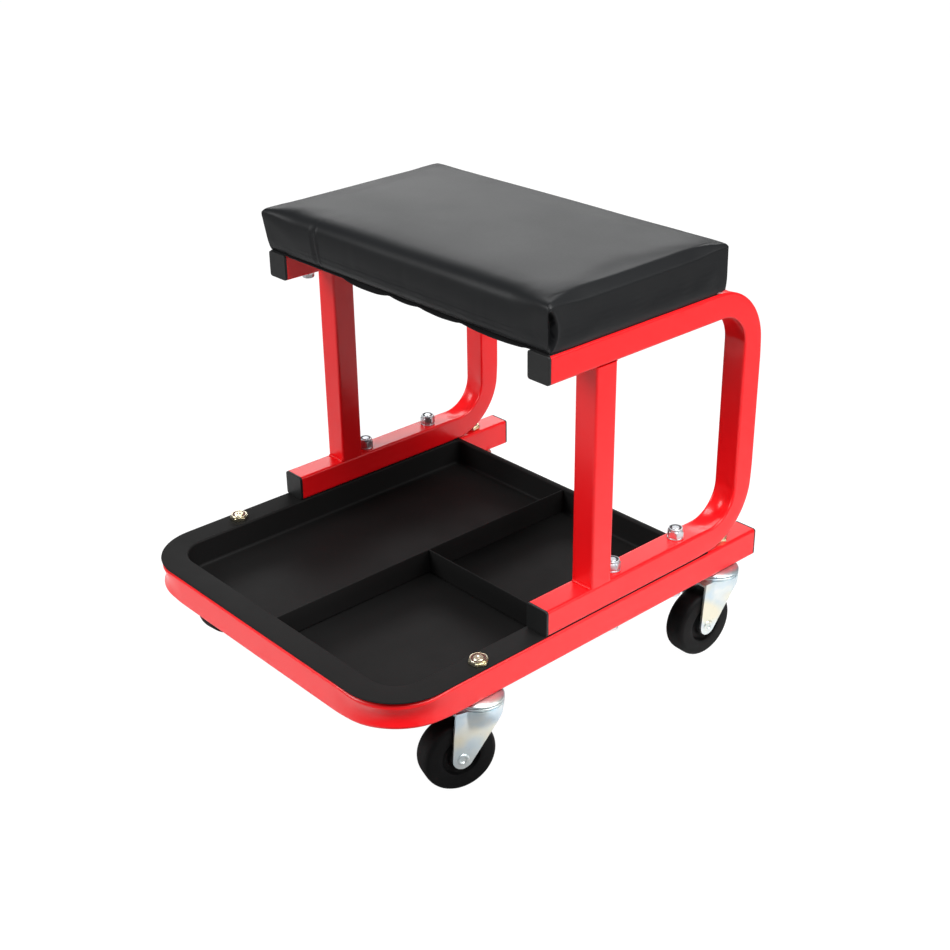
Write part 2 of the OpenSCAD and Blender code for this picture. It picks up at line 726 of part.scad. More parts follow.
base_frame();
base_plug(-1);  // base_plug_left
base_plug(1);  // base_plug_right
tool_tray();
long_divider();
cross_divider();
arch(-1);  // arch_left
arch(1);  // arch_right
post(-1);  // post_left
post(1);  // post_right
arch_plug(-1, flange_top + tube_w / 2);  // plug_lower_left
arch_plug(1, flange_top + tube_w / 2);  // plug_lower_right
arch_plug(-1, arch_top - tube_w / 2);  // plug_upper_left
arch_plug(1, arch_top - tube_w / 2);  // plug_upper_right
arch_bolts();
arch_washers();
arch_nuts();
seat_board();
seat_foam();
seat_cover();
dust_cloth();
cloth_staples();
tee_nuts();
seat_bolts();
seat_washers();
stem_nuts();
for (i = [0 : 3]) {
    stem(i);
    race_cup(i);
    race_balls(i);
    fork(i);
    axle(i);
    axle_bush(i);
    wheel(i);
}
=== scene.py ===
import json
from math import atan2, cos, hypot, pi, radians, sin, sqrt, tau

import bmesh
import bpy
from mathutils import Matrix, Vector, noise
from mathutils.kdtree import KDTree


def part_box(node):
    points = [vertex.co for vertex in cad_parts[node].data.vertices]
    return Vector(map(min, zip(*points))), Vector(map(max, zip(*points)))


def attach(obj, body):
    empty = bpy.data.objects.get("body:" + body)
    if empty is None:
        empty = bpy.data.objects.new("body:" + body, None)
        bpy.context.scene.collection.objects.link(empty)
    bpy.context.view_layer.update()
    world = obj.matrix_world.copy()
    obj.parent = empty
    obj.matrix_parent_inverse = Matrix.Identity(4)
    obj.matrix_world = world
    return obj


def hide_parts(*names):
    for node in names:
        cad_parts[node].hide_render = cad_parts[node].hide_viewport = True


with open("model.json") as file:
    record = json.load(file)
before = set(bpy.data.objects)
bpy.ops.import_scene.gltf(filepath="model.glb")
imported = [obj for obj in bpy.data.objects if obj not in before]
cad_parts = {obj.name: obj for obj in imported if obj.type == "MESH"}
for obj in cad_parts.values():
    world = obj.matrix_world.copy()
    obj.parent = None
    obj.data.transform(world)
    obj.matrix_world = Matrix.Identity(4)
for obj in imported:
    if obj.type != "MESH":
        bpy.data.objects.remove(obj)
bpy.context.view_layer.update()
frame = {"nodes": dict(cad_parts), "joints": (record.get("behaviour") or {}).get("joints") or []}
MM = 0.001

# Places and sizes that the frame gives
base_low, base_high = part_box("base_frame")
arch_low, arch_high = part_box("arch_right")
post_low, post_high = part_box("post_right")
tray_low, tray_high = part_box("tool_tray")
pad_low, pad_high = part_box("seat_cover")
cloth_low, cloth_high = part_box("dust_cloth")
TUBE = arch_high.x - arch_low.x
RAIL_X = base_high.x - TUBE / 2
BASE_Z = base_low.z
FLANGE_TOP = tray_high.z

# Sizes that the frame doesn't give
HAIR = 0.0005  # how near to its axis a turned profile starts, in millimetres
TUBE_WALL = 1.5 * MM
TUBE_EDGE = 2.25 * MM
BORE_EDGE = TUBE_EDGE - 0.9 * TUBE_WALL
BASE_BEND = 42.5 * MM
ARCH_BEND = 45.5 * MM
SHEET = 1.2 * MM
TRAY_CORNER = 28.5 * MM


class Level:
    """A value that varies over a surface. Sums and products of levels add Math nodes."""

    def __init__(self, finish, socket):
        self.finish = finish
        self.socket = socket

    def maths(self, operation, *values):
        return self.finish.node("ShaderNodeMath", {"operation": operation}, dict(enumerate(values)))

    def __add__(self, other):
        return self.maths("ADD", self, other)

    __radd__ = __add__

    def __sub__(self, other):
        return self.maths("SUBTRACT", self, other)

    def __rsub__(self, other):
        return self.maths("SUBTRACT", other, self)

    def __mul__(self, other):
        return self.maths("MULTIPLY", self, other)

    __rmul__ = __mul__

    def __truediv__(self, other):
        return self.maths("DIVIDE", self, other)


class Finish:
    """One finish of the seat: a Principled shader and the nodes that feed it."""

    def __init__(self, name, **even):
        self.material = bpy.data.materials.new(name)
        self.material.use_nodes = True
        self.tree = self.material.node_tree
        self.shader = self.tree.nodes["Principled BSDF"]
        self.place = self.node("ShaderNodeTexCoord", out="Object")
        self.vary(**even)

    def node(self, kind, settings=None, inputs=None, out=0):
        made = self.tree.nodes.new(kind)
        for key, value in (settings or {}).items():
            if key == "stops":
                ramp = made.color_ramp.elements
                while len(ramp) < len(value):
                    ramp.new(1)
                for stop, (where, level) in zip(ramp, value):
                    stop.position = where
                    stop.color = level if hasattr(level, "__len__") else (level, level, level, 1)
            else:
                setattr(made, key, value)
        for key, value in (inputs or {}).items():
            self.feed(made.inputs[key], value)
        return Level(self, made.outputs[out])

    def feed(self, socket, value):
        if isinstance(value, Level):
            self.tree.links.new(value.socket, socket)
        else:
            socket.default_value = value

    def vary(self, **sockets):
        for word, value in sockets.items():
            self.feed(self.shader.inputs[word.replace("_", " ").title().replace("Ior", "IOR")], value)

    def noise(self, scale, detail=3, roughness=0.5, place=None):
        return self.node("ShaderNodeTexNoise", None, {
            "Vector": place or self.place, "Scale": scale, "Detail": detail, "Roughness": roughness})

    def cells(self, scale):
        return self.node("ShaderNodeTexVoronoi", None, {"Vector": self.place, "Scale": scale}, "Distance")

    def ramp(self, level, *stops):
        return self.node("ShaderNodeValToRGB", {"stops": stops}, {"Fac": level})

    def blend(self, share, one, other):
        return self.node("ShaderNodeMix", {"data_type": "RGBA"}, {0: share, 6: one, 7: other}, 2)

    def stretched(self, x, y, z):
        return self.node("ShaderNodeMapping", None, {"Vector": self.place, "Scale": (x, y, z)})

    def made(self, base, roughness, height, depth, strength):
        """The finished material: its colour, its roughness, and its relief with the depth that it has."""
        relief = self.node("ShaderNodeBump", None, {"Strength": strength, "Distance": depth * MM, "Height": height})
        self.vary(Base_Color=base, Roughness=roughness, Normal=relief)
        return self.material


def colour(red, green, blue):
    return (red, green, blue, 1)


def red_paint():
    """Gloss red powder coat: a faint orange peel and a slightly uneven gloss."""
    it = Finish("red_powder_coat", specular_ior_level=0.42, coat_weight=0.05, coat_roughness=0.08, coat_ior=1.5)
    patches = it.ramp(it.noise(9, 2), (0.35, 0), (0.65, 1))
    peel = it.noise(520, 2, 0.4) + 0.6 * it.noise(140, 1, 0.4)
    return it.made(it.blend(patches, colour(0.82, 0.0035, 0.0065), colour(0.86, 0.0045, 0.0080)),
                   0.26 + 0.06 * it.noise(60), peel, 0.03, 0.35)


def tray_paint():
    """Satin black powder coat, with fine texture and a few pale specks of dust."""
    it = Finish("satin_black_coat", specular_ior_level=0.16)
    specks = it.ramp(it.cells(95), (0.0, 1), (0.012, 1), (0.02, 0)) * it.ramp(it.noise(31, 1), (0.68, 0), (0.72, 1))
    paint = it.blend(it.noise(14, 2), colour(0.0050, 0.0049, 0.0048), colour(0.0074, 0.0072, 0.0072))
    return it.made(it.blend(specks, paint, colour(0.10, 0.10, 0.10)),
                   0.58 + 0.1 * it.noise(40), it.noise(900, 3, 0.6), 0.035, 0.5)


def plug_plastic():
    """Moulded black plastic with a fine matt texture."""
    it = Finish("moulded_plug_plastic", specular_ior_level=0.27)
    return it.made(it.blend(it.noise(60), colour(0.009, 0.0094, 0.0094), colour(0.0145, 0.0149, 0.0149)),
                   0.40 + 0.12 * it.noise(180), it.noise(1300, 3, 0.6), 0.04, 0.6)


def nylon_insert(name, tone):
    """The lock ring of a nut: smooth nylon, scuffed where the thread cuts it."""
    it = Finish(name)
    return it.made(it.blend(it.noise(700), tone, colour(*(2.2 * v for v in tone[:3]))),
                   0.34 + 0.2 * it.noise(900), it.noise(1500), 0.03, 0.5)


def zinc(name, pale, tint, other, roughness, streak=(1, 1, 1)):
    """Zinc plate: passivation tints that drift over the part, fine drawing lines and light scuffs."""
    it = Finish(name, metallic=1.0)
    second = it.noise(28, 1, 0.5, it.stretched(1.3, 0.8, 1.1))
    base = it.blend(it.ramp(it.noise(46, 2), (0.40, 0), (0.62, 1)), pale, tint)
    base = it.blend(it.ramp(second, (0.52, 0), (0.70, 1)), base, other)
    lines = it.noise(420, 3, 0.6, it.stretched(*streak))
    grime = it.ramp(it.noise(240, 4, 0.65), (0.62, 0), (0.78, 1))
    return it.made(it.blend(0.35 * grime, base, colour(0.30, 0.29, 0.26)),
                   roughness + 0.12 * lines + 0.12 * grime, lines + 0.5 * it.noise(160, 2), 0.02, 0.35)


def ball_steel():
    """Ground steel under a film of grease."""
    it = Finish("greased_steel", metallic=1.0)
    film = it.noise(180, 2)
    return it.made(it.blend(film, colour(0.50, 0.50, 0.49), colour(0.36, 0.34, 0.30)),
                   0.16 + 0.2 * film, it.noise(800), 0.01, 0.3)


def wheel_polymer():
    """Hard black wheel: matt, with a grey bloom of dust."""
    it = Finish("wheel_polymer", specular_ior_level=0.11)
    bloom = it.ramp(it.noise(70, 4, 0.6), (0.48, 0), (0.80, 1))
    return it.made(it.blend(0.5 * bloom, colour(0.0028, 0.0028, 0.0030), colour(0.011, 0.011, 0.0105)),
                   0.46 + 0.14 * it.noise(120) + 0.10 * bloom,
                   it.noise(950, 3, 0.6) + 0.4 * it.noise(150, 2), 0.03, 0.5)


def vinyl():
    """Black seat vinyl: a fine pebbled grain, satin, with soft drifts in its sheen."""
    it = Finish("seat_vinyl", specular_ior_level=0.22)
    drift = it.noise(11, 3, 0.55)
    grain = it.cells(1500) + 0.7 * it.cells(820) + 0.6 * it.noise(2100, 2)
    return it.made(it.blend(drift, colour(0.0054, 0.0058, 0.0065), colour(0.0080, 0.0086, 0.0094)),
                   0.36 + 0.10 * drift + 0.04 * it.noise(500), grain, 0.05, 0.28)


def dust_cloth_weave():
    """Black non-woven cloth: point-bonded dimples over loose fibres."""
    it = Finish("non_woven_cloth", specular_ior_level=0.25)
    fibres = it.noise(1100, 4, 0.7)
    return it.made(it.blend(fibres, colour(0.006, 0.006, 0.0065), colour(0.017, 0.017, 0.018)),
                   0.72 + 0.2 * fibres, it.cells(620) + 0.4 * fibres, 0.12, 0.6)


def plywood():
    """Raw plywood: grain along the board and the darker lines of its plies."""
    it = Finish("raw_plywood")
    grain = it.noise(60, 4, 0.6, it.stretched(0.12, 1, 1))
    plies = it.node("ShaderNodeTexWave", {"bands_direction": "Z"},
                    {"Vector": it.place, "Scale": 210.0, "Distortion": 0.4})
    return it.made(it.blend(0.5 * grain + 0.25 * plies, colour(0.62, 0.44, 0.25), colour(0.38, 0.24, 0.12)),
                   0.7 + 0.15 * grain, grain, 0.15, 0.5)


RED = red_paint()
BLACK_COAT = tray_paint()
PLUG = plug_plastic()
VINYL = vinyl()
WHEEL = wheel_polymer()
CLOTH = dust_cloth_weave()
PLYWOOD = plywood()
STEEL = ball_steel()
BRIGHT_ZINC = zinc("bright_zinc_plate", colour(0.66, 0.68, 0.70), colour(0.58, 0.61, 0.65),
                   colour(0.68, 0.68, 0.66), 0.30)
YELLOW_ZINC = zinc("yellow_zinc_plate", colour(0.82, 0.77, 0.58), colour(0.74, 0.63, 0.36),
                   colour(0.86, 0.82, 0.70), 0.22)
CASTOR_ZINC = zinc("blue_zinc_plate", colour(0.72, 0.78, 0.77), colour(0.56, 0.69, 0.76),
                   colour(0.79, 0.77, 0.62), 0.33, (1, 1, 0.35))
DARK_NYLON = nylon_insert("dark_nylon", colour(0.012, 0.013, 0.016))
BROWN_NYLON = nylon_insert("brown_nylon", colour(0.045, 0.012, 0.008))


def stand(name, data):
    """Puts an object in the scene."""
    thing = bpy.data.objects.new(name, data)
    bpy.context.scene.collection.objects.link(thing)
    return thing


def finished(data, finish, sharp):
    """Gives a mesh its finish and smooth shading, with crisp edges over sharp degrees."""
    data.shade_smooth()
    data.set_sharp_from_angle(angle=radians(sharp))
    data.materials.clear()
    data.materials.append(finish)


def new_piece(name, mesh, finish, body="root", stands_for=(), sharp=32):
    """Puts a mesh in the scene as a piece, its normals facing out."""
    bmesh.ops.remove_doubles(mesh, verts=mesh.verts, dist=0.002 * MM)
    bmesh.ops.recalc_face_normals(mesh, faces=mesh.faces)
    data = bpy.data.meshes.new(name)
    mesh.to_mesh(data)
    mesh.free()
    finished(data, finish, sharp)
    piece = stand(name, data)
    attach(piece, body)
    if stands_for:
        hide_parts(*stands_for)
    return piece


def bridge(mesh, one, two):
    """Faces between two rings of vertices."""
    for i in range(len(one)):
        j = (i + 1) % len(one)
        mesh.faces.new((one[i], one[j], two[j], two[i]))


def add_rings(mesh, rings, closed=False, caps=True):
    """Skins a row of rings of points. closed joins the last ring to the first."""
    rows = [[mesh.verts.new(p) for p in ring] for ring in rings]
    for one, two in zip(rows, rows[1:] + rows[:1] * closed):
        bridge(mesh, one, two)
    if caps and not closed:
        mesh.faces.new(rows[0])
        mesh.faces.new(rows[-1])
    return rows


def add_turned(mesh, profile, place, steps=48):
    """Turns a closed profile of (radius, height) points about the z axis of place."""
    add_rings(mesh, [[place @ Vector((r * cos(turn), r * sin(turn), z)) for r, z in profile]
                     for turn in (tau * k / steps for k in range(steps))], closed=True)


def in_metres(points, rise=0.0):
    """A half section given in millimetres, moved so far up its axis."""
    return [(r * MM, rise + z * MM) for r, z in points]


def border(last_i, last_j):
    """The places round the edge of a grid."""
    return ([(i, 0) for i in range(last_i)] + [(last_i, j) for j in range(last_j)]
            + [(i, last_j) for i in range(last_i, 0, -1)] + [(0, j) for j in range(last_j, 0, -1)])


def add_sheet(mesh, *faces):
    """A closed sheet from the grids of points of its two faces."""
    grids = [[[mesh.verts.new(p) for p in row] for row in grid] for grid in faces]
    for grid in grids:
        for one, two in zip(grid, grid[1:]):
            for i in range(len(one) - 1):
                mesh.faces.new((one[i], one[i + 1], two[i + 1], two[i]))
    edge = border(len(grids[0][0]) - 1, len(grids[0]) - 1)
    bridge(mesh, *([grid[j][i] for i, j in edge] for grid in grids))


def arc(centre, radius, start, end, steps):
    """Points of an arc, by angles in degrees."""
    turns = [radians(start + (end - start) * k / steps) for k in range(steps + 1)]
    return [(centre[0] + radius * cos(t), centre[1] + radius * sin(t)) for t in turns]


def smooth(t):
    """Eases from 0 to 1."""
    t = min(1.0, max(0.0, t))
    return t * t * (3 - 2 * t)


def ridge(distance, width):
    """A smooth bell, 1 in the middle and 0 beyond its width."""
    share = min(1.0, abs(distance) / width)
    return (1 - share * share) ** 2


# Square tube: a section swept along a route of straight legs and round bends
SIDE_SHARES = (0.03, 0.14, 0.26, 0.38, 0.5, 0.62, 0.74, 0.86, 0.97)


def tube_section(width, height, edge):
    """Points (across the bend, along its axis) of a square tube's outline, edges rounded."""
    x, y = width / 2 - edge, height / 2 - edge
    points = []
    corners = [((x, -y), -90), ((x, y), 0), ((-x, y), 90), ((-x, -y), 180)]
    for k, (centre, start) in enumerate(corners):
        points += arc(centre, edge, start, start + 90, 4)
        after, turn = corners[(k + 1) % 4]
        one, two = points[-1], arc(after, edge, turn, turn + 90, 4)[0]
        points += [(one[0] + (two[0] - one[0]) * s, one[1] + (two[1] - one[1]) * s) for s in SIDE_SHARES]
    return points


def bent_route(corners, radius, ease=20 * MM, bend_steps=22, ease_steps=5):
    """Stations (place, heading, sunk) along a route. sunk is 1 in the middle of a bend and fades to 0 just past
    its ends."""
    stations = []
    points = [Vector(c) for c in corners]
    reach = radius * pi / 4 + ease
    before = (points[1] - points[0]).normalized()
    stations.append((points[0], before, 0.0))
    for k in range(1, len(points) - 1):
        after = (points[k + 1] - points[k]).normalized()
        start, end = points[k] - before * radius, points[k] + after * radius
        centre = start + after * radius
        fades = [(past, ridge(radius * pi / 4 + past, reach))
                 for past in (ease * i / ease_steps for i in range(1, ease_steps + 1))]
        stations += [(start - before * past, before, sunk) for past, sunk in reversed(fades)]
        for i in range(bend_steps + 1):
            turn = pi / 2 * i / bend_steps
            place = centre - after * radius * cos(turn) + before * radius * sin(turn)
            heading = before * cos(turn) + after * sin(turn)
            stations.append((place, heading, ridge((turn - pi / 4) * radius, reach)))
        stations += [(end + after * past, after, sunk) for past, sunk in fades]
        before = after
    stations.append((points[-1], before, 0.0))
    return stations


def add_tube(mesh, stations, width, height, to_frame, outward, dents, pull, pinch, ripple=0.0):
    """A hollow square tube along stations. Its walls sink in at the bends, as they do when tube is bent cold.
    outward turns a heading into the direction away from the bends' centres. dents are the depths of the hollows
    in the outer and the inner wall, pull moves the whole outer wall in, pinch draws its low and its high edge
    together, and ripple is the share by which the inner wall's hollow comes and goes."""
    skins = []
    for inset, edge in ((0.0, TUBE_EDGE), (TUBE_WALL, BORE_EDGE)):
        section = tube_section(width - 2 * inset, height - 2 * inset, edge)
        rings = []
        for place, heading, sunk in stations:
            out = outward(heading)
            ring = []
            for a, b in section:
                across = max(0.0, 1 - (2 * b / (height - 2 * inset)) ** 2) ** 1.6
                share = 2 * a / (width - 2 * inset)
                outer = max(0.0, share)
                shift = dents[1] * max(0.0, -share) ** 3 - dents[0] * outer ** 3
                wave = 1 + ripple * cos(3 * pi * (1 - sunk)) * max(0.0, -share)
                a += shift * sunk * across * wave - pull * sunk * outer ** 2
                b -= 2 * b / height * pinch[b > 0] * sunk * outer ** 2
                ring.append(to_frame(place + out * a, b))
            rings.append(ring)
        skins.append(rings)
    add_skins(mesh, skins)


def add_skins(mesh, skins):
    """The outer and the inner skin of a tube, joined at its ends."""
    outer, inner = (add_rings(mesh, rings, caps=False) for rings in skins)
    for end in (0, -1):
        bridge(mesh, outer[end], inner[end])


def base_frame():
    mesh = bmesh.new()
    height = base_high.z - base_low.z
    front = base_low.y + TUBE / 2
    route = bent_route([(RAIL_X, base_high.y), (RAIL_X, front), (-RAIL_X, front), (-RAIL_X, base_high.y)],
                       BASE_BEND)
    add_tube(mesh, route, TUBE, height, lambda p, b: Vector((p.x, p.y, b + BASE_Z + height / 2)),
             lambda d: Vector((-d.y, d.x)), dents=(3.2 * MM, 1.6 * MM), pull=1.4 * MM, pinch=(3.0 * MM, 5.0 * MM))
    new_piece("bent_base_tube", mesh, RED, stands_for=["base_frame"])


def arch(name, side):
    mesh = bmesh.new()
    back = arch_high.y - TUBE / 2
    low, high = arch_low.z + TUBE / 2, arch_high.z - TUBE / 2
    route = bent_route([(arch_low.y, low), (back, low), (back, high), (arch_low.y, high)], ARCH_BEND)
    add_tube(mesh, route, TUBE, TUBE, lambda p, b: Vector((side * RAIL_X + b, p.x, p.y)),
             lambda d: Vector((d.y, -d.x)), dents=(1.2 * MM, 3.6 * MM), pull=2.2 * MM,
             pinch=(0.6 * MM, 0.6 * MM), ripple=0.22)
    new_piece(f"arch_tube_{name}", mesh, RED, stands_for=[f"arch_{name}"])


def post(name, side):
    """A post, whose top stands a hair below the rail at its outer side, where it isn't welded."""
    mesh = bmesh.new()
    y = (post_low.y + post_high.y) / 2
    gap = 0.5 * MM
    bore = TUBE - 2 * TUBE_WALL
    levels = [post_low.z, post_low.z + TUBE / 2, post_high.z - TUBE / 2, post_high.z - gap]
    add_skins(mesh, [[[Vector((side * RAIL_X + a, y + b, z)) for a, b in section] for z in levels]
                     for section in (tube_section(TUBE, TUBE, TUBE_EDGE), tube_section(bore, bore, BORE_EDGE))])
    new_piece(f"post_tube_{name}", mesh, RED, stands_for=[f"post_{name}"])


def weld_bead(name, start, end, up, out, leg=2.6 * MM, ripples=9):
    """A fillet weld along a corner, its ripples stacked like coins. up and out are the corner's two walls."""
    mesh = bmesh.new()
    start, along = Vector(start), Vector(end) - Vector(start)
    root, steps = 0.4 * MM, ripples * 5
    rings = []
    for k in range(steps + 1):
        t = k / steps
        spot = start + along * t
        taper = min(1.0, 6 * t, 6 * (1 - t)) ** 0.5
        wave = abs(sin(pi * ripples * t)) ** 0.6
        size = leg * (0.30 + 0.70 * taper) * (0.93 + 0.10 * wave + 0.05 * noise.noise(start * 900 + along * t * 300))
        ring = [spot - (up + out) * root]
        for turn in (radians(t) for t in range(0, 91, 15)):
            ring.append(spot + (out * cos(turn) + up * sin(turn)) * size * (0.80 + 0.14 * sin(2 * turn)))
        rings.append(ring)
    add_rings(mesh, rings)
    new_piece(name, mesh, RED, sharp=60)


def post_welds(name, side):
    """The beads at a post's foot and head, in front and behind."""
    inner, outer = side * RAIL_X - TUBE / 2, side * RAIL_X + TUBE / 2
    trim = 1.2 * MM
    for where, z, up in (("foot", post_low.z, Vector((0, 0, 1))), ("head", post_high.z, Vector((0, 0, -1)))):
        for face, y, out in (("front", post_low.y, Vector((0, -1, 0))), ("rear", post_high.y, Vector((0, 1, 0)))):
            weld_bead(f"weld_{where}_{face}_{name}", (inner + trim, y, z), (outer - trim, y, z), up, out)


def plug(name, node, along):
    """A pushed-in tube plug: a head with soft edges, and a ribbed shank. along points out of the tube."""
    mesh = bmesh.new()
    low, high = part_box(node)
    head = (2.0 if node.startswith("base") else 2.5) * MM
    mid = (low + high) / 2
    face = high.y if along > 0 else low.y
    soft, slip, rib = 0.45 * MM, 0.15 * MM, 0.6 * MM
    bore, wall, shank_edge = TUBE_WALL + slip, 1.8 * MM, 1.2 * MM

    def outline(inset, edge, depth):
        return [Vector((mid.x + a, face - along * depth, mid.z + b))
                for a, b in tube_section(high.x - low.x - 2 * inset, high.z - low.z - 2 * inset, edge)]

    rows = [outline(1.9 * soft, TUBE_EDGE, 0.02 * MM)]
    rows += [outline(soft * (1 - cos(radians(turn))), TUBE_EDGE + 0.2 * MM, soft * (1 - sin(radians(turn))))
             for turn in (90, 60, 30, 0)]
    rows += [outline(0.0, TUBE_EDGE, head - 0.25 * MM), outline(0.2 * MM, TUBE_EDGE, head),
             outline(bore + rib, shank_edge, head)]
    for k in range(1, 4):
        middle = head + 14 * MM * k / 3.4
        for inset, step in ((rib, -0.7), (0.0, -0.3), (0.0, 0.3), (rib, 0.7)):
            rows.append(outline(bore + inset, shank_edge, middle + step * MM))
    end = high.y - low.y
    rows.append(outline(bore + rib, shank_edge, end))
    rows += [outline(bore + rib + wall, 0.8 * MM, depth) for depth in (end, head + 0.5 * MM)]
    add_rings(mesh, rows)
    new_piece(name, mesh, PLUG, stands_for=[node], sharp=50)


def quarter(*turns):
    """(in, down) of a quarter circle of radius 1 that starts upright, at these turns in degrees."""
    return [(1 - cos(radians(t)), 1 - sin(radians(t))) for t in turns]


def tray_ring(half, front, back, front_edge, rear_edge, z):
    """One outline of the tray, with round corners, from the front right corner round to the front left one."""
    low, high = front + front_edge, back - rear_edge
    right = (arc((half - front_edge, low), front_edge, -90, 0, 18)
             + [(half, low + (high - low) * s / 9) for s in range(1, 9)]
             + arc((half - rear_edge, high), rear_edge, 0, 90, 7))
    points = (right + [((half - rear_edge) * (1 - 2 * s / 13), back) for s in range(1, 13)]
              + [(-x, y) for x, y in reversed(right)]
              + [((front_edge - half) * (1 - 2 * s / 13), front) for s in range(1, 13)])
    return [Vector((x, y, z)) for x, y in points]


def tool_tray():
    """The pressed tray: flange, rolled lip, wall, floor and the hem behind, one sheet thick all over."""
    half = RAIL_X - TUBE / 2 - 0.3 * MM - SHEET
    opening = tray_low.y + tray_high.x - half
    back = tray_high.y
    floor_z = tray_low.z + SHEET
    lip, foot = 2.0 * MM, 3.0 * MM
    corner, rear_corner = TRAY_CORNER, 6.0 * MM
    top = FLANGE_TOP
    under = top - SHEET
    hem = top - 5 * MM

    def ring(out, z):
        """An outline, out metres outside the opening's walls."""
        rear = rear_corner + out if out < lip + SHEET else SHEET
        return tray_ring(half + out, opening - out, back - 5.5 * MM + out, corner + out, max(rear, SHEET), z)

    def flange_ring(inset, z, hem_z=None):
        edge = tray_high.x - half - inset
        points = tray_ring(half + edge, opening - edge, back - inset, corner + edge, SHEET, z)
        if hem_z is not None:
            for p in points:
                if p.y > back - inset - 0.1 * MM and abs(p.x) < half - 3 * MM:
                    p.z = hem_z
        return points

    upper_rows = [flange_ring(*spot) for spot in (
        (1.7 * MM, under), (SHEET, under, under - 0.9 * MM), (0.95 * SHEET, under, hem + 0.15 * MM),
        (0.5 * SHEET, top - 1.02 * SHEET, hem), (0.12 * SHEET, top - 0.9 * SHEET, hem + 0.2 * MM),
        (0.0, top - 0.55 * SHEET, top - 1.6 * MM), (0.12 * SHEET, top - 0.14 * SHEET, top - 0.7 * MM),
        (0.45 * SHEET, top, top - 0.22 * MM), (1.2 * SHEET, top))]
    upper_rows += [ring(lip * down, top - lip * inward) for inward, down in quarter(0, 22, 45, 68, 90)]
    upper_rows.append(ring(0.0, floor_z + foot))
    upper_rows += [ring(-foot * inward, floor_z + foot * down) for inward, down in quarter(22, 45, 68, 90)]
    inner = lip - SHEET * 0.5
    bend = foot + SHEET
    lower_rows = [flange_ring(2.3 * MM, under)]
    lower_rows += [ring(SHEET + inner * down, under - inner * inward) for inward, down in quarter(0, 30, 60, 90)]
    lower_rows.append(ring(SHEET, floor_z + foot))
    lower_rows += [ring(SHEET - bend * inward, tray_low.z + bend * down) for inward, down in quarter(22, 45, 68, 90)]
    mesh = bmesh.new()
    upper, lower = ([[mesh.verts.new(p) for p in row] for row in rows] for rows in (upper_rows, lower_rows))
    for rows in (upper, [upper[0]] + lower):
        mesh.faces.new(rows[-1])
        for one, two in zip(rows, rows[1:]):
            bridge(mesh, one, two)
    new_piece("pressed_tray", mesh, BLACK_COAT, stands_for=["tool_tray"], sharp=50)


def folded_strip(name, node, along, toward, foot_trim):
    """A divider: an upright sheet with a foot bent off it. along is its run, toward the foot's direction."""
    low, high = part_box(node)
    rise = high.z - low.z
    half, bend, chamfer, lift = SHEET / 2, 1.6 * MM, 0.3 * MM, 0.02 * MM
    size = high - low
    length = size.dot(along)
    foot = abs(size.dot(toward)) - SHEET
    origin = Vector((high.x - half, low.y, low.z)) if toward.x < 0 else Vector((low.x, low.y + half, low.z))
    profile = [(-half, bend), (-half, rise / 2), (-half, rise - half)]
    profile += [(-half * cos(radians(t)), rise - half + half * sin(radians(t))) for t in (30, 60, 90, 120, 150)]
    profile += [(half, rise - half), (half, rise / 2), (half, SHEET + bend)]
    profile += [(half + bend * a, SHEET + bend * z) for a, z in quarter(30, 60, 90)]
    end = foot + half
    profile += [(end - chamfer, SHEET), (end, half), (end - chamfer, lift), (half + bend, lift)]
    profile += [(-half + (bend + SHEET) * a, (bend + SHEET) * z) for a, z in quarter(60, 30)]
    mesh = bmesh.new()
    rings = []
    for place in [0.0, chamfer] + [length * s / 8 for s in range(1, 8)] + [length - chamfer, length]:
        ring = []
        for a, z in profile:
            trim = foot_trim * smooth((a - half - bend) / (2 * MM))
            stay = min(max(place, trim), length - trim)
            ring.append(origin + along * stay + toward * a + Vector((0, 0, max(z, lift))))
        rings.append(ring)
    add_rings(mesh, rings)
    new_piece(name, mesh, BLACK_COAT, stands_for=[node], sharp=50)


def add_hexagonal(mesh, place, flats, rows, cut, steps, twist=0.0, closed=False):
    """Skins rows of (radius, height, shape) round an axis. Shape 0 is round, 2 a hexagon, and 1 a hexagon whose
    corners are cut off at a radius."""
    rings = []
    for radius, z, shape in rows:
        ring = []
        for k in range(steps):
            turn = tau * k / steps
            reach = flats / 2 / cos((turn + twist) % (pi / 3) - pi / 6) if shape else radius
            reach = min(reach, cut) if shape == 1 else reach
            ring.append(place @ Vector((reach * cos(turn), reach * sin(turn), z)))
        rings.append(ring)
    add_rings(mesh, rings, closed=closed)


COLLAR_SHARE, COLLAR_WALL = 0.49, 1.18 * MM  # of a lock nut: its collar's radius to its flats, and its wall


def add_nut(mesh, place, flats, height, collar, thread_r, twist):
    """The steel of a lock nut: chamfered hexagon, crimped collar and a threaded bore."""
    half = flats / 2
    rim = flats * COLLAR_SHARE
    rows = ((thread_r, 0.0, 0), (0.92 * half, 0.0, 0), (half, 0.35 * MM, 1), (half, 0.5 * MM, 2),
            (half, height - 0.9 * MM, 2), (half, height - 0.35 * MM, 1), (0.93 * half, height, 0),
            (rim, height + 0.15 * collar, 0), (rim, height + 0.72 * collar, 0),
            (rim - 0.2 * MM, height + 0.94 * collar, 0), (rim - 0.4 * MM, height + collar, 0),
            (rim - 1.15 * MM, height + 0.97 * collar, 0), (rim - 1.2 * MM, height + 0.3 * collar, 0),
            (thread_r, height + 0.1 * collar, 0))
    cut = half + 0.35 * (flats / sqrt(3) - half)
    add_hexagonal(mesh, place, flats, rows, cut, 72, twist, closed=True)


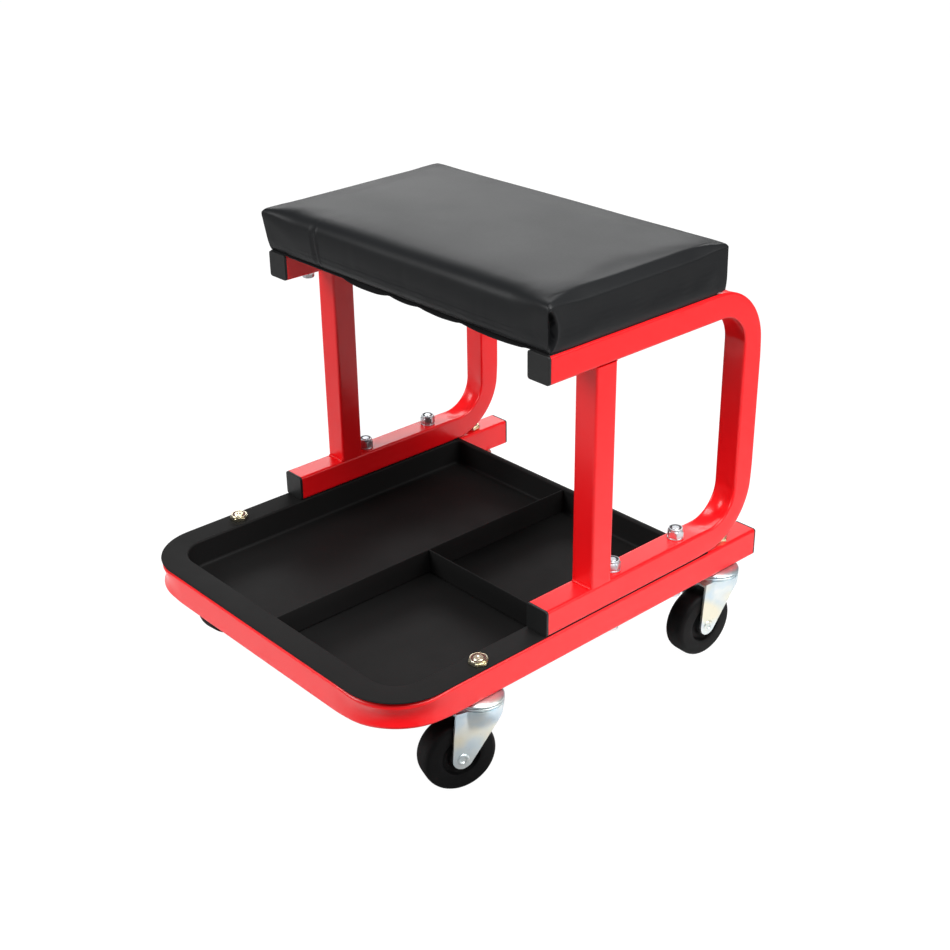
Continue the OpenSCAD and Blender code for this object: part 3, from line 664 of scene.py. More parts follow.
def add_insert(mesh, place, flats, height, collar, thread_r):
    """The nylon ring inside the collar."""
    rim = flats * COLLAR_SHARE - COLLAR_WALL
    low, high = height + 0.25 * collar, height + 0.94 * collar
    add_turned(mesh, [(thread_r, low), (rim, low), (rim, high - 0.15 * MM), (rim - 0.3 * MM, high),
                      (thread_r + 0.5 * MM, high), (thread_r, high - 0.25 * MM)], place)


def threaded_profile(radius, low, high, thread_low, pitch, hollow=0.0):
    """Half section of a bolt end: a shank with thread grooves above thread_low and a chamfered tip."""
    profile = [(HAIR * MM, low), (radius, low), (radius, thread_low)]
    crests = int((high - thread_low - 1.0 * MM) / pitch)
    for k in range(crests):
        z = thread_low + pitch * (k + 0.5)
        profile += [(radius, z - 0.2 * pitch), (radius - 0.45 * pitch, z), (radius, z + 0.2 * pitch)]
    profile += [(radius, high - 0.8 * MM), (radius - 0.7 * MM, high)]
    if hollow:
        profile += [(hollow, high), (0.6 * hollow, high - 0.7 * MM)]
        high -= 0.9 * MM
    return profile + [(HAIR * MM, high)]


def arch_fasteners():
    """The bolts through arch and base, each with a washer above and below, a lock nut and its nylon ring."""
    low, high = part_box("arch_nuts")
    washer_low, washer_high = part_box("arch_washers")
    flats, radius, nut_h = 13.8 * MM, 4 * MM, 7.2 * MM
    washer_half, washer_h, head_h = 8 * MM, 1.6 * MM, 5.28 * MM
    collar = high.z - low.z - nut_h
    under_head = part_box("arch_bolts")[0].z + head_h
    head_rows = [(flats / 2 * share, z * MM, shape) for share, z, shape in (
        (0.9, 0.0, 0), (1.0, 0.3, 1), (1.0, 0.5, 2), (1.0, 4.2, 2), (1.0, 4.8, 1), (0.9, 5.28, 0), (0.5, 5.2, 0))]
    half_washer = ((4.3, 0), (7.4, 0), (7.6, 0.2), (7.6, 1.4), (7.4, 1.6), (4.3, 1.6))
    places = [(side * RAIL_X, y) for side in (1, -1)
              for y in (washer_low.y + washer_half, washer_high.y - washer_half)]
    shank = threaded_profile(radius, under_head, high.z + 0.1 * MM, thread_low=low.z, pitch=1.25 * MM)
    nuts, inserts, bolts, washers = (bmesh.new() for _ in range(4))
    for (x, y), twist in zip(places, (14, 41, 27, 3)):
        spot = Matrix.Translation((x, y, low.z))
        add_nut(nuts, spot, flats, nut_h, collar, radius, radians(twist))
        add_insert(inserts, spot, flats, nut_h, collar, radius)
        stem = Matrix.Translation((x, y, 0))
        add_turned(bolts, shank, stem, steps=36)
        head = Matrix.Translation((x, y, under_head)) @ Matrix.Rotation(pi, 4, "X")
        add_hexagonal(bolts, head, flats, head_rows, flats / 2 * 1.05, 48)
        for bottom in (washer_low.z, washer_high.z - washer_h):
            add_turned(washers, in_metres(half_washer, bottom), stem)
    new_piece("arch_lock_nuts", nuts, BRIGHT_ZINC, stands_for=["arch_nuts"], sharp=28)
    new_piece("arch_nut_inserts", inserts, DARK_NYLON)
    new_piece("arch_bolt_set", bolts, BRIGHT_ZINC, stands_for=["arch_bolts"], sharp=28)
    new_piece("arch_washer_set", washers, BRIGHT_ZINC, stands_for=["arch_washers"], sharp=50)


# Castors. In a castor's own frame z is 0 under the base tube, and the wheel stands off along +x.
CORNERS = ("fr", "fl", "rr", "rl")
JOINTS = {j["name"]: j for j in frame["joints"]}
DROP = BASE_Z - JOINTS["roll_fr"]["pos_m"][2]
RACE = 22 * MM
FORK_OUT = 14.65 * MM
FORK_SHEET = 2.2 * MM
PLATE, STEM_BORE = -8.5, 5.05  # in millimetres


def castor_place(corner):
    """A castor's own frame, turned to its heading."""
    swivel = Vector(JOINTS[f"swivel_{corner}"]["pos_m"])
    roll = Vector(JOINTS[f"roll_{corner}"]["pos_m"])
    return Matrix.Translation(swivel) @ Matrix.Rotation(atan2(roll.y - swivel.y, roll.x - swivel.x), 4, "Z")


TRAIL = (Vector(JOINTS["roll_fr"]["pos_m"]) - Vector(JOINTS["swivel_fr"]["pos_m"])).xy.length

# Edges of a fork leg seen from its side: (depth below the base, place along the trail) in millimetres
LEG_TOP, LEG_END_R = 6.9, 9.6
FRONT_EDGE = ((LEG_TOP, 27.9), (30, 30.3), (54.5, 31.9))
REAR_EDGE = ((LEG_TOP, -17.4), (8.5, -16.8), (14, -14.9), (21, -12.0), (28, -8.6), (60.1, 14.5))


def edge_at(points, depth):
    """Where an edge of a fork leg lies at a depth."""
    for (d0, x0), (d1, x1) in zip(points, points[1:]):
        if depth <= d1:
            return (x0 + (x1 - x0) * (depth - d0) / (d1 - d0)) * MM
    return points[-1][1] * MM


def fork_leg(mesh, place, side):
    """One leg: it leaves the round dish above and flattens towards the axle."""
    hub, rear_end = FRONT_EDGE[-1][0], REAR_EDGE[-1][0]
    depths = [LEG_TOP + (rear_end - LEG_TOP) * k / 18 for k in range(19)]
    depths += [rear_end + (hub + LEG_END_R - rear_end) * sin(radians(t)) for t in (25, 45, 62, 76, 86)]
    grid = []
    for depth in depths:
        reach = sqrt(max(0.0, LEG_END_R ** 2 - (depth - hub) ** 2)) * MM
        rear = edge_at(REAR_EDGE, depth) if depth <= rear_end else TRAIL - reach
        front = edge_at(FRONT_EDGE, depth) if depth <= hub else TRAIL + reach
        flat = smooth((depth - 8.5) / 21)
        row = []
        for k in range(25):
            x = rear + (front - rear) * k / 24
            round_y = sqrt(max(0.0, RACE ** 2 - x * x)) if abs(x) < RACE else 0.0
            y = max(FORK_OUT, round_y) * (1 - flat) + FORK_OUT * flat
            if x < 0 and depth < 12:
                y = min(y, round_y)
            row.append((x, y, -depth * MM))
        grid.append(row)
    add_sheet(mesh, *([[place @ Vector((x, side * (y - inset), z)) for x, y, z in row] for row in grid]
                      for inset in (0.0, FORK_SHEET)))


# Half section of the fork's dish with the lip round its race: radius and height in millimetres
DISH = ((STEM_BORE, PLATE), (17.2, PLATE), (19.0, -8.0), (19.6, -7.2), (19.6, -4.9), (20.0, -4.35), (20.8, -4.2),
        (21.6, -4.4), (22, -4.95), (22, -5.6), (21.7, -6.1), (21.2, -6.55), (21.3, -7.3), (21.8, -8.4), (21.6, -9.6),
        (20.6, -10.5), (18.5, -10.7), (STEM_BORE, -10.7))


def fork(corner, place):
    mesh = bmesh.new()
    add_turned(mesh, in_metres(DISH), place, steps=96)
    new_piece(f"fork_dish_{corner}", mesh, CASTOR_ZINC, f"fork_{corner}", [f"fork_{corner}"], sharp=40)
    mesh = bmesh.new()
    fold = 1.7 * MM
    front = (FRONT_EDGE[0][1] + 0.2) * MM
    top = PLATE * MM
    section = [(FORK_OUT, top - FORK_SHEET), (FORK_OUT, top - fold)]
    section += [(FORK_OUT - fold * inward, top - fold * down) for inward, down in quarter(30, 60, 90)]
    section += [(-y, z) for y, z in reversed(section)]
    add_rings(mesh, [[place @ Vector((x, y, z)) for y, z in section]
                     for x in (12 * MM, 20 * MM, front - 0.4 * MM, front)])
    for side in (1, -1):
        fork_leg(mesh, place, side)
    legs = new_piece(f"fork_legs_{corner}", mesh, CASTOR_ZINC, f"fork_{corner}", sharp=40)
    edges = legs.modifiers.new("edges", "BEVEL")
    edges.width, edges.segments = 0.4 * MM, 2
    edges.limit_method, edges.angle_limit = "ANGLE", radians(50)


def race_cup(corner, place):
    half_section = ((STEM_BORE, -0.02), (14, -0.02), (16.5, -0.3), (19, -0.95), (21, -1.75), (21.9, -2.5),
                    (22, -3.3), (21.7, -3.6), (20.3, -3.6), (20.1, -3.0), (18.6, -2.2), (16.2, -1.7), (14, -1.5),
                    (STEM_BORE, -1.5))
    mesh = bmesh.new()
    add_turned(mesh, in_metres(half_section), place, steps=96)
    new_piece(f"upper_race_{corner}", mesh, CASTOR_ZINC, stands_for=[f"race_cup_{corner}"], sharp=50)


def stem(corner, place):
    low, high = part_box(f"stem_{corner}")
    bottom, top = low.z - BASE_Z, high.z - BASE_Z
    head = ((HAIR, 0), (6.4, 0), (8.0, 0.9), (8.5, 2.1), (8.3, 2.4), (5, 2.4))
    profile = in_metres(head, bottom)
    profile += threaded_profile(5 * MM, profile[-1][1], top, thread_low=20 * MM, pitch=1.5 * MM, hollow=2.2 * MM)[2:]
    mesh = bmesh.new()
    add_turned(mesh, profile, place)
    new_piece(f"castor_stem_{corner}", mesh, YELLOW_ZINC, stands_for=[f"stem_{corner}"], sharp=28)


def stem_nuts():
    nuts, inserts = bmesh.new(), bmesh.new()
    size = (16 * MM, 3.6 * MM, 1.2 * MM, 5 * MM)
    for corner, twist in zip(CORNERS, (8, 33, 20, 47)):
        rise = base_high.z - BASE_Z + (SHEET if corner.startswith("f") else 0)
        place = castor_place(corner) @ Matrix.Translation((0, 0, rise))
        add_nut(nuts, place, *size, radians(twist))
        add_insert(inserts, place, *size)
    new_piece("castor_lock_nuts", nuts, YELLOW_ZINC, stands_for=["stem_nuts"], sharp=28)
    new_piece("castor_nut_inserts", inserts, BROWN_NYLON)


def axle_line(place):
    """The frame of the axle: its z runs along the wheel's axis."""
    return place @ Matrix.Translation((TRAIL, 0, -DROP)) @ Matrix.Rotation(pi / 2, 4, "X")


def axle(corner, place):
    """The rivet, its rolled heads outside the fork: radius and height over the fork in millimetres."""
    head = ((4.0, -0.2), (5.6, 0), (5.55, 0.45), (5.0, 0.95), (4.1, 1.22), (3.2, 1.1), (2.7, 0.5), (2.2, -0.3),
            (1.2, -0.6), (HAIR, -0.6))
    profile = in_metres(head, FORK_OUT)
    mesh = bmesh.new()
    add_turned(mesh, [(r, -z) for r, z in reversed(profile)] + profile, axle_line(place))
    new_piece(f"axle_rivet_{corner}", mesh, CASTOR_ZINC, f"fork_{corner}", [f"axle_{corner}"], sharp=50)


# Half section of the wheel: radius and distance from its mid plane, in millimetres
WHEEL_SIDE = ((6.05, 11.95), (9.3, 11.95), (10.1, 11.6), (10.5, 10.9), (10.9, 8.6), (11.6, 7.2), (12.6, 6.75),
              (15.6, 6.75), (16.6, 7.2), (17.3, 8.6), (18.1, 10.9), (18.6, 11.15), (22.5, 11.25), (29.2, 11.25),
              (30.4, 11.15), (31.5, 10.75), (32.5, 10.0), (33.2, 9.0), (33.7, 7.6), (33.95, 5.8), (34.0, 3.5),
              (34.0, 0.6), (34.0, 0.22))


def wheel(corner, place):
    mesh = bmesh.new()
    half = in_metres(WHEEL_SIDE)
    add_turned(mesh, half + [(r, -z) for r, z in reversed(half)], axle_line(place), steps=128)
    new_piece(f"castor_wheel_{corner}", mesh, WHEEL, f"wheel_{corner}", [f"wheel_{corner}"], sharp=40)


def dress(node, finish):
    """Gives a carried-over node its finish and clean shading."""
    finished(frame["nodes"][node].data, finish, 30)


# The seat pad. In its own frame x and y are 0 in its middle and z is 0 at its underside.
PAD_HALF = Vector(((pad_high.x - pad_low.x) / 2, (pad_high.y - pad_low.y) / 2))
PAD_MID = Vector(((pad_low.x + pad_high.x) / 2, (pad_low.y + pad_high.y) / 2, pad_low.z))
PAD_CROWN = 1.6 * MM
PAD_RIM = pad_high.z - pad_low.z - PAD_CROWN
PAD_DROOP, DROOP_REACH = 3.0 * MM, 55 * MM
CORNER_R = 2.0 * MM
PUFF_CAP, PUFF_REACH = 0.9 * MM, 24 * MM
# At its corners the cover is pulled tight, and rolls over in this share of its usual width
TIGHT_SHARE, TIGHT_REACH = 0.30, 50 * MM


def rolled(*stages):
    """The course of a roll from upright to flat, as rows of (length, in, up).
    A stage is the turn in degrees that it ends at, and its length."""
    rows = [(0.0, 0.0, 0.0)]
    turn = 0.0
    for end, length in stages:
        for k in range(8):
            mean = radians(turn + (end - turn) * (k + 0.5) / 8)
            along, inward, up = rows[-1]
            rows.append((along + length / 8, inward + length / 8 * sin(mean), up + length / 8 * cos(mean)))
        turn = end
    return rows


FRONT_ROLL = rolled((15, 20 * MM), (62, 11 * MM), (82, 6 * MM), (90, 6 * MM))
BACK_ROLL = rolled((90, 13 * MM))
SIDE_ROLL = rolled((46, 2.6 * MM), (66, 9.5 * MM), (90, 2.4 * MM))


def lines_between(low, high, fine, step, reach, extra=()):
    """Grid lines from low to high: fine ones near both ends and round each extra place, wider ones between."""
    spots = [low]
    while spots[-1] < high - 1e-9:
        here = spots[-1]
        near = min([here - low, high - here] + [max(0.0, abs(here - e)) for e in extra])
        share = smooth((near - 11 * MM) / reach)
        spots.append(min(high, here + fine + (step - fine) * share))
    if high - spots[-2] < fine * 0.5:
        spots.pop(-2)
    return spots


def roll_over(distance, roll, scale):
    """How far in, and how far below the top, the cover lies so far from where it stands upright."""
    distance /= scale
    length, reach, rise = roll[-1]
    if distance >= length:
        return (reach + distance - length) * scale, 0.0
    for (d0, in0, up0), (d1, in1, up1) in zip(roll, roll[1:]):
        if distance <= d1:
            share = (distance - d0) / (d1 - d0)
            return (in0 + (in1 - in0) * share) * scale, (rise - up0 - (up1 - up0) * share) * scale


def round_corner(x, y, half_x, half_y, radius):
    """Moves a point near a square corner of a plan onto the round corner."""
    dx, dy = abs(x) - (half_x - radius), abs(y) - (half_y - radius)
    if dx <= 0 or dy <= 0:
        return x, y
    share = max(dx, dy) / hypot(dx, dy)
    return ((half_x - radius + dx * share) * (1 if x > 0 else -1),
            (half_y - radius + dy * share) * (1 if y > 0 else -1))


def pad_top(x, y):
    """A point of the pad's top, from its place on the flat cloth before it rolls over the edges."""
    half_x, half_y = PAD_HALF
    roll_y = FRONT_ROLL if y < 0 else BACK_ROLL
    tight_x, tight_y = (TIGHT_SHARE + (1 - TIGHT_SHARE) * smooth(away / TIGHT_REACH)
                        for away in ((1 - abs(y)) * half_y, (1 - abs(x)) * half_x))
    in_x, down_x = roll_over((half_x + (SIDE_ROLL[-1][0] - SIDE_ROLL[-1][1]) * tight_x) * (1 - abs(x)),
                             SIDE_ROLL, tight_x)
    in_y, down_y = roll_over((half_y + (roll_y[-1][0] - roll_y[-1][1]) * tight_y) * (1 - abs(y)),
                             roll_y, tight_y)
    share_x, share_y = down_x / (SIDE_ROLL[-1][2] * tight_x), down_y / (roll_y[-1][2] * tight_y)
    deep = (down_x + down_y) / max(share_x + share_y, 1e-9)
    px, py = round_corner((half_x - in_x) * (1 if x > 0 else -1), (half_y - in_y) * (1 if y > 0 else -1),
                          half_x, half_y, CORNER_R)
    u, v = px / half_x, py / half_y
    to_corner = hypot(half_x - abs(px), half_y - abs(py)) / DROOP_REACH
    z = PAD_RIM - deep * (1 - (1 - share_x) * (1 - share_y)) - PAD_DROOP * max(0.0, 1 - to_corner) ** 2
    return Vector((px, py, z + PAD_CROWN * (1 - u * u) * (1 - v * v)))


def pad_side(rim, share, tucked):
    """A point of the pad's side, so far up to a point of its rim. The cover is drawn in under the board, more so
    at the corners, and tucked in beside them: on the pad's sides in front, and on its back behind."""
    half_x, half_y = PAD_HALF
    z = rim.z * share
    sx, sy = (1 if rim.x > 0 else -1), (1 if rim.y > 0 else -1)
    face = Vector((max(0.0, abs(rim.x) - half_x + CORNER_R) * sx,
                   max(0.0, abs(rim.y) - half_y + CORNER_R) * sy)).normalized()
    front = face.y ** 2
    corner = smooth(1 - hypot(half_x - abs(rim.x), half_y - abs(rim.y)) / (26 * MM))
    pull = (0.8 + 1.9 * front) * MM * max(0.0, 1 - z / (14 * MM)) ** 2
    pull += (0.6 - 1.2 * front) * MM * corner * max(0.0, 1 - z / (20 * MM)) ** 2
    radius = (1.8 + 1.2 * front + 0.6 * corner) * MM
    turn = max(0.0, 1 - z / radius)
    pull += radius * (1 - sqrt(max(0.0, 1 - turn * turn)))
    point = Vector((rim.x - face.x * pull, rim.y - face.y * pull, z))
    lens = sin(pi * min(1.0, max(0.0, (share - 0.02) / 0.95))) ** 0.8
    if tucked and lens > 0:
        along, across = (1, 0) if sy < 0 else (0, 1)
        beside = (half_x, half_y)[along] - abs(rim[along])
        if (half_x, half_y)[across] - abs(rim[across]) < CORNER_R:
            width = (1.2 + 6.6 * lens) * MM
            pocket = smooth((beside - 0.3 * MM) / (0.9 * MM)) * (1 - smooth((beside - width) / (1.5 * MM)))
            lip = ridge(beside - width - 1.8 * MM, 2.2 * MM) * lens
            point[across] -= (sx, sy)[across] * (7.0 * pocket * min(1.0, 1.8 * lens) - 0.7 * lip) * MM
    return point


def pad_mesh(columns, rows, levels, tucked):
    """The whole skin of the pad as one closed mesh of quads."""
    mesh = bmesh.new()
    top = {(i, j): mesh.verts.new(PAD_MID + pad_top(x, y)) for i, x in enumerate(columns) for j, y in enumerate(rows)}
    last_i, last_j = len(columns) - 1, len(rows) - 1
    ring = border(last_i, last_j)
    above = [top[spot] for spot in ring]
    rim = [v.co - PAD_MID for v in above]
    for share in levels:
        below = [mesh.verts.new(PAD_MID + pad_side(p, share, tucked)) for p in rim]
        bridge(mesh, above, below)
        above = below
    bottom = dict(zip(ring, above))
    for i in range(1, last_i):
        for j in range(1, last_j):
            bottom[i, j] = mesh.verts.new(PAD_MID + Vector((columns[i] * (PAD_HALF.x - 4 * MM),
                                                            rows[j] * (PAD_HALF.y - 4 * MM), 0.0)))
    for faces in (top, bottom):
        for i in range(last_i):
            for j in range(last_j):
                mesh.faces.new((faces[i, j], faces[i + 1, j], faces[i + 1, j + 1], faces[i, j + 1]))
    bmesh.ops.recalc_face_normals(mesh, faces=mesh.faces)
    return mesh


def even(count):
    """Even places from -1 to 1."""
    return [-1 + 2 * k / count for k in range(count + 1)]


def loose_object(name, mesh):
    """Puts a mesh in the scene without making it a piece."""
    data = bpy.data.meshes.new(name)
    mesh.to_mesh(data)
    mesh.free()
    thing = stand(name, data)
    bpy.context.view_layer.update()
    return thing


def apply_modifiers(thing):
    """Bakes an object's modifiers into its mesh."""
    graph = bpy.context.evaluated_depsgraph_get()
    baked = bpy.data.meshes.new_from_object(thing.evaluated_get(graph))
    thing.modifiers.clear()
    thing.data = baked


def puffed(cap, pressure=4.0, steps=20):
    """Blows up a remeshed copy of the pad as cloth over foam. Gives a tree of its places and how each moved."""
    block = loose_object("pad_block", pad_mesh(even(76), even(44), [1 - k / 8 for k in range(1, 9)], False))
    remesh = block.modifiers.new("remesh", "REMESH")
    remesh.mode = "VOXEL"
    remesh.voxel_size = 5 * MM
    apply_modifiers(block)
    rest = [v.co.copy() for v in block.data.vertices]
    held = block.vertex_groups.new(name="held")
    for k, p in enumerate(rest):
        held.add([k], 1.0 if p.z < PAD_MID.z + 3 * MM else 0.0, "REPLACE")
    cloth = block.modifiers.new("cloth", "CLOTH")
    for key, value in {"quality": 6, "mass": 0.3, "tension_stiffness": 25, "compression_stiffness": 25,
                       "shear_stiffness": 10, "bending_stiffness": 1.0, "use_pressure": True,
                       "uniform_pressure_force": pressure, "vertex_group_mass": "held"}.items():
        setattr(cloth.settings, key, value)
    cloth.settings.effector_weights.gravity = 0
    cloth.collision_settings.use_collision = False
    scene = bpy.context.scene
    for step in range(1, steps + 1):
        scene.frame_set(step)
    apply_modifiers(block)
    scene.frame_set(1)
    tree = KDTree(len(rest))
    moves = []
    for k, (v, p) in enumerate(zip(block.data.vertices, rest)):
        tree.insert(p, k)
        move = v.co - p
        moves.append(move * min(1.0, cap / max(move.length, 1e-9)))
    tree.balance()
    bpy.data.objects.remove(block)
    return tree, moves


def follow(point, tree, moves):
    """How the puffed skin moved round a point."""
    total, weight = Vector((0, 0, 0)), 0.0
    for _, index, distance in tree.find_n(point, 6):
        share = 1 / (distance + 0.6 * MM)
        total += moves[index] * share
        weight += share
    return total / weight


# Where each corner of the pad stands off its square place: the cover isn't pulled quite straight
CORNER_SHIFTS = {(-1, -1): (-1.0, -6.2, 0), (1, -1): (-1.2, 0.3, 0), (1, 1): (-1.5, 0.6, 1.0),
                 (-1, 1): (-6.0, -0.6, 1.2)}
FRONT_CREASES = (-113.8 * MM, 106 * MM)


def settle_cover(p, normal):
    """The cover's tucks, creases and pulls, at a point of the pad's own frame."""
    height = min(1.0, max(0.0, p.z / PAD_RIM))
    side = 1 - smooth((normal.z - 0.1) / 0.5)
    out = p.copy()
    skin = 0.35 * noise.noise(Vector((p.x * 14, p.y * 14, p.z * 9)))
    skin += 0.16 * noise.noise(Vector((p.x * 42, p.y * 42, p.z * 25))) * side
    out += normal * skin * MM
    # Soft pulls of the staples below, along every side
    along = p.x if abs(normal.y) > abs(normal.x) else p.y
    pull = 0.55 * MM * (1 - height) ** 1.5 * side * (0.6 + 0.4 * sin(along / (9.5 * MM)))
    out -= normal * pull
    # The crease near the left end of the front, and a fainter one towards its right end
    if normal.y < -0.3:
        lean = 5 * MM * (1 - height)
        for place, depth, width in ((FRONT_CREASES[0], 1.6, 5.0), (FRONT_CREASES[1], 0.2, 4.0), (14 * MM, 0.22, 7.0),
                                    (-60 * MM, 0.2, 8.0)):
            away = p.x - place - lean
            fade = ridge(height - 0.42, 0.62)
            out.y += fade * MM * depth * (0.75 * ridge(away + 0.8 * width * MM, width * MM)
                                          - 0.55 * ridge(away - 0.25 * width * MM, 0.55 * width * MM))
    return out


def seat_cushion():
    def shares(half, extra=()):
        return [s / half for s in lines_between(-half, half, 0.8 * MM, 4.2 * MM, 16 * MM, extra)]

    levels = [1 - k / 30 for k in range(1, 29)] + [0.045, 0.03, 0.018, 0.008, 0.0]
    mesh = pad_mesh(shares(PAD_HALF.x, FRONT_CREASES[:1]), shares(PAD_HALF.y), levels, True)
    tree, moves = puffed(PUFF_CAP)
    for v in mesh.verts:
        p = v.co - PAD_MID
        to_corner = hypot(PAD_HALF.x - abs(p.x), PAD_HALF.y - abs(p.y))
        v.co += follow(v.co, tree, moves) * smooth(p.z / (6 * MM)) * smooth(to_corner / PUFF_REACH)
    mesh.normal_update()
    normals = [v.normal.copy() for v in mesh.verts]
    for v, normal in zip(mesh.verts, normals):
        p = v.co - PAD_MID
        if normal.z > -0.6:
            p = settle_cover(p, normal)
        u, w = (p.x / PAD_HALF.x + 1) / 2, (p.y / PAD_HALF.y + 1) / 2
        for (sx, sy), shift in CORNER_SHIFTS.items():
            share = (u if sx > 0 else 1 - u) * (w if sy > 0 else 1 - w)
            p += Vector(shift) * share * min(1.0, p.z / (38 * MM)) * MM
        p.z = max(p.z, 0.02 * MM)
        p.x = min(p.x, PAD_HALF.x + 0.8 * MM)
        v.co = PAD_MID + p
    piece = new_piece("padded_seat", mesh, VINYL, stands_for=["seat_cover", "seat_foam"], sharp=180)


# The cloth's front edge hangs in lobes between the staples: (start, end, depth) in millimetres
CLOTH_LOBES = ((-76, -12, 3.4), (-9, 29, 1.6), (30, 82, 2.0), (85, 161, 2.2))


def dust_cloth():
    """The cloth below the board: flat on the rails, its front edge loose and scalloped between staples."""
    mesh = bmesh.new()
    # The cloth reaches about 10 mm past its part at the sides and in front, so its dark edge covers the rail's top
    # under the pad's rim. This is partly the real cloth's edge and partly painted shade for the shadowed gap under
    # the pad.
    half = (cloth_high.x - cloth_low.x) / 2 + 10 * MM
    front, back = cloth_low.y - 10.2 * MM, cloth_high.y
    inner = RAIL_X - TUBE / 2
    columns, lines = 121, 41
    grid = []
    for j in range(lines):
        y = front + (back - front) * (j / (lines - 1)) ** 1.6
        near = smooth(1 - (y - front) / (13 * MM))
        row = []
        for i in range(columns):
            x = -half + 2 * half * i / (columns - 1)
            free = smooth((inner - abs(x)) / (9 * MM))
            sag = 0.3 + 0.3 * noise.noise(Vector((x * 60, 3.1, 0)))
            for start, end, depth in CLOTH_LOBES:
                share = (x / MM - start) / (end - start)
                if 0 < share < 1:
                    sag += depth * sin(pi * share) ** 0.7
            wave = min(0.0, 0.25 * noise.noise(Vector((x * 25, y * 25, 1.7))) * free)
            row.append(Vector((x, y, cloth_low.z + (0.1 - free * (near * sag + 0.25) + wave) * MM)))
        grid.append(row)
    thick = Vector((0, 0, 0.35 * MM))
    add_sheet(mesh, grid, [[p + thick for p in row] for row in grid])
    piece = new_piece("under_seat_cloth", mesh, CLOTH, stands_for=["dust_cloth"], sharp=180)


def mix_surface(tree, output, lit, seen, share=1.0):
    """seen for what the lens sees straight on, in this share, and lit for what lights the seat or is mirrored."""
    ray = tree.nodes.new("ShaderNodeLightPath")
    part = tree.nodes.new("ShaderNodeMath")
    part.operation = "MULTIPLY"
    part.inputs[1].default_value = share
    both = tree.nodes.new("ShaderNodeMixShader")
    for source, target in ((ray.outputs["Is Camera Ray"], part.inputs[0]), (part.outputs[0], both.inputs[0]),
                           (lit.outputs[0], both.inputs[1]), (seen.outputs[0], both.inputs[2]),
                           (both.outputs[0], tree.nodes[output].inputs["Surface"])):
        tree.links.new(source, target)


def floor():
    """A white floor, far wider than the view, that keeps only a trace of the seat's shadow. Its colour holds painted
    shade: it is darker away from the middle and towards the lens, for what it lights and mirrors.
    """
    reach, thick, clearance = 30, 0.05, 0.2 * MM
    mesh = bmesh.new()
    add_rings(mesh, [[(-reach, -reach, z), (reach, -reach, z), (reach, reach, z), (-reach, reach, z)]
                     for z in (-thick, -clearance)])
    bmesh.ops.recalc_face_normals(mesh, faces=mesh.faces)
    ground = loose_object("studio_floor", mesh)
    it = Finish("studio_white", specular_ior_level=0.0, roughness=0.9)
    away = it.node("ShaderNodeVectorMath", {"operation": "LENGTH"}, {0: it.place}, 1)
    # Painted shade: darker away from the middle and towards the side that the lens looks from, so the seat is lit by
    # and mirrors a dimmer floor there
    along = it.node("ShaderNodeVectorMath", {"operation": "DOT_PRODUCT"}, {0: it.place, 1: (0.745, -0.667, 0.0)}, 1)
    it.vary(Base_Color=it.ramp(away, (0.30, 0.86), (0.80, 0.46)) * it.ramp(along / away, (0.925, 1.0), (0.985, 0.32)))
    glow = it.tree.nodes.new("ShaderNodeEmission")
    glow.inputs["Strength"].default_value = 1.16
    mix_surface(it.tree, "Material Output", it.shader, glow, 0.85)
    ground.data.materials.append(it.material)


def soft_light(name, azimuth, elevation, distance, size, strength, target=(0, 0, 0.2)):
    """A square soft box that faces the seat. Azimuth 0 stands in front, 90 at the right."""
    lamp = bpy.data.lights.new(name, "AREA")
    lamp.shape = "RECTANGLE"
    lamp.size, lamp.size_y = size
    lamp.energy = strength
    box = stand(name, lamp)
    a, e = radians(azimuth), radians(elevation)
    out = Vector((sin(a) * cos(e), -cos(a) * cos(e), sin(e)))
    box.location = Vector(target) + out * distance
    box.rotation_euler = out.to_track_quat("Z", "Y").to_euler()


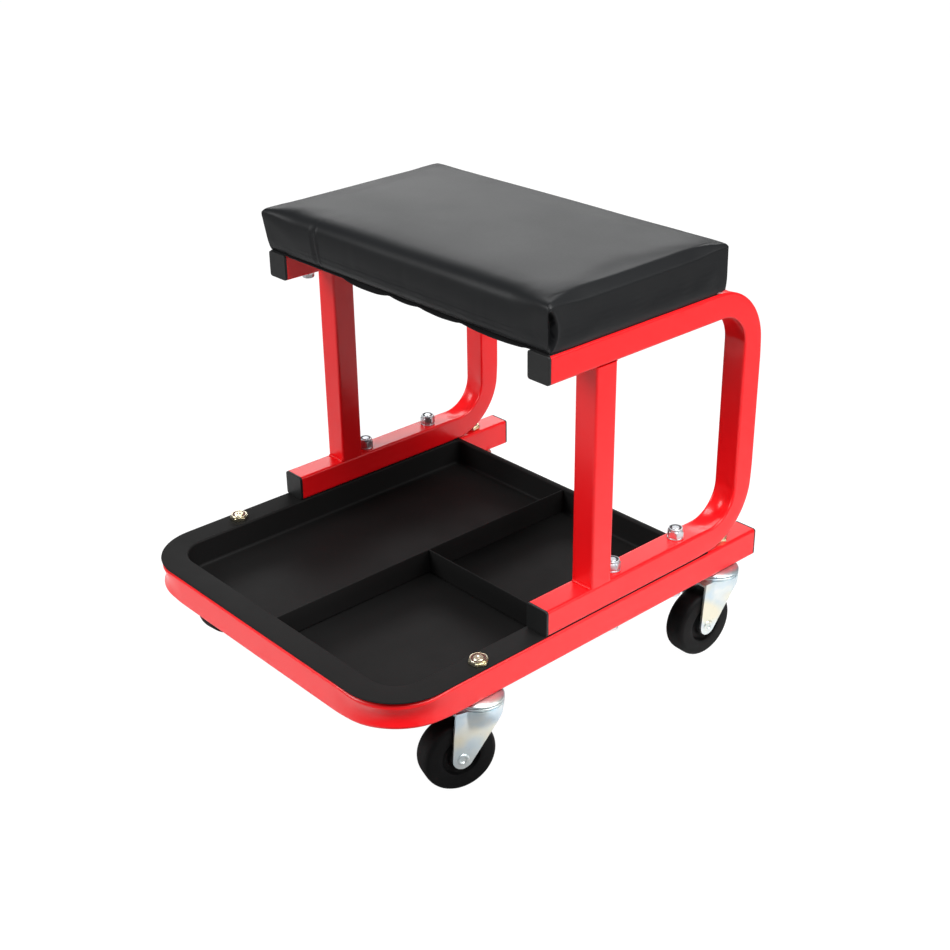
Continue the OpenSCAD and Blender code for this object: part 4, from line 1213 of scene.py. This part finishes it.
def studio():
    """White behind the seat, and a dimmer room that lights it."""
    world = bpy.data.worlds.new("studio")
    bpy.context.scene.world = world
    world.use_nodes = True
    tree = world.node_tree
    room = tree.nodes["Background"]
    room.inputs["Color"].default_value = colour(0.96, 0.98, 1.0)
    room.inputs["Strength"].default_value = 0.20
    white = tree.nodes.new("ShaderNodeBackground")
    white.inputs["Color"].default_value = colour(1, 1, 1)
    mix_surface(tree, "World Output", room, white)
    for lamp in (("key_box", 92, 66, 2.2, (1.3, 1.3), 58), ("side_box", 112, 30, 2.4, (1.2, 1.2), 24),
                 ("back_box", 230, 18.5, 4.4, (2.9, 0.8), 33, (0, 0, 0.42)),
                 ("front_box", -24, 32, 2.6, (1.2, 1.2), 42)):
        soft_light(*lamp)
    bpy.context.scene.view_settings.view_transform = "Standard"
    bpy.context.scene.view_settings.look = "None"


def camera():
    """The photograph's viewpoint, worked out from the seat's own edges."""
    place = Vector((962.75, -828.82, 820.02)) * MM
    azimuth, elevation, roll = radians(48.127), radians(26.506), radians(-0.822)
    back = Vector((sin(azimuth) * cos(elevation), -cos(azimuth) * cos(elevation), sin(elevation)))
    level = Vector((cos(azimuth), sin(azimuth), 0))
    upright = back.cross(level)
    right = cos(roll) * level + sin(roll) * upright
    up = -sin(roll) * level + cos(roll) * upright
    data = bpy.data.cameras.new("camera")
    frame_px, focal_px = 950, 1494.13
    data.sensor_width = 36
    data.lens = data.sensor_width * focal_px / frame_px
    eye = stand("camera", data)
    eye.matrix_world = Matrix((*zip(right, up, back, place), (0, 0, 0, 1)))
    bpy.context.scene.camera = eye


camera()
studio()
floor()
base_frame()
tool_tray()
folded_strip("long_tray_divider", "long_divider", Vector((0, 1, 0)), Vector((-1, 0, 0)), TRAY_CORNER)
folded_strip("cross_tray_divider", "cross_divider", Vector((1, 0, 0)), Vector((0, 1, 0)), 11 * MM)
for side_name, side in (("left", -1), ("right", 1)):
    arch(side_name, side)
    post(side_name, side)
    post_welds(side_name, side)
    plug(f"rear_plug_{side_name}", f"base_plug_{side_name}", 1)
    for level in ("lower", "upper"):
        plug(f"{level}_arch_plug_{side_name}", f"plug_{level}_{side_name}", -1)
arch_fasteners()
stem_nuts()
for corner in CORNERS:
    spot = castor_place(corner)
    race_cup(corner, spot)
    stem(corner, spot)
    fork(corner, spot)
    axle(corner, spot)
    wheel(corner, spot)
    dress(f"race_balls_{corner}", STEEL)
    dress(f"axle_bush_{corner}", STEEL)
dress("seat_board", PLYWOOD)
for node in ("tee_nuts", "cloth_staples", "seat_bolts", "seat_washers"):
    dress(node, BRIGHT_ZINC)
seat_cushion()
dust_cloth()
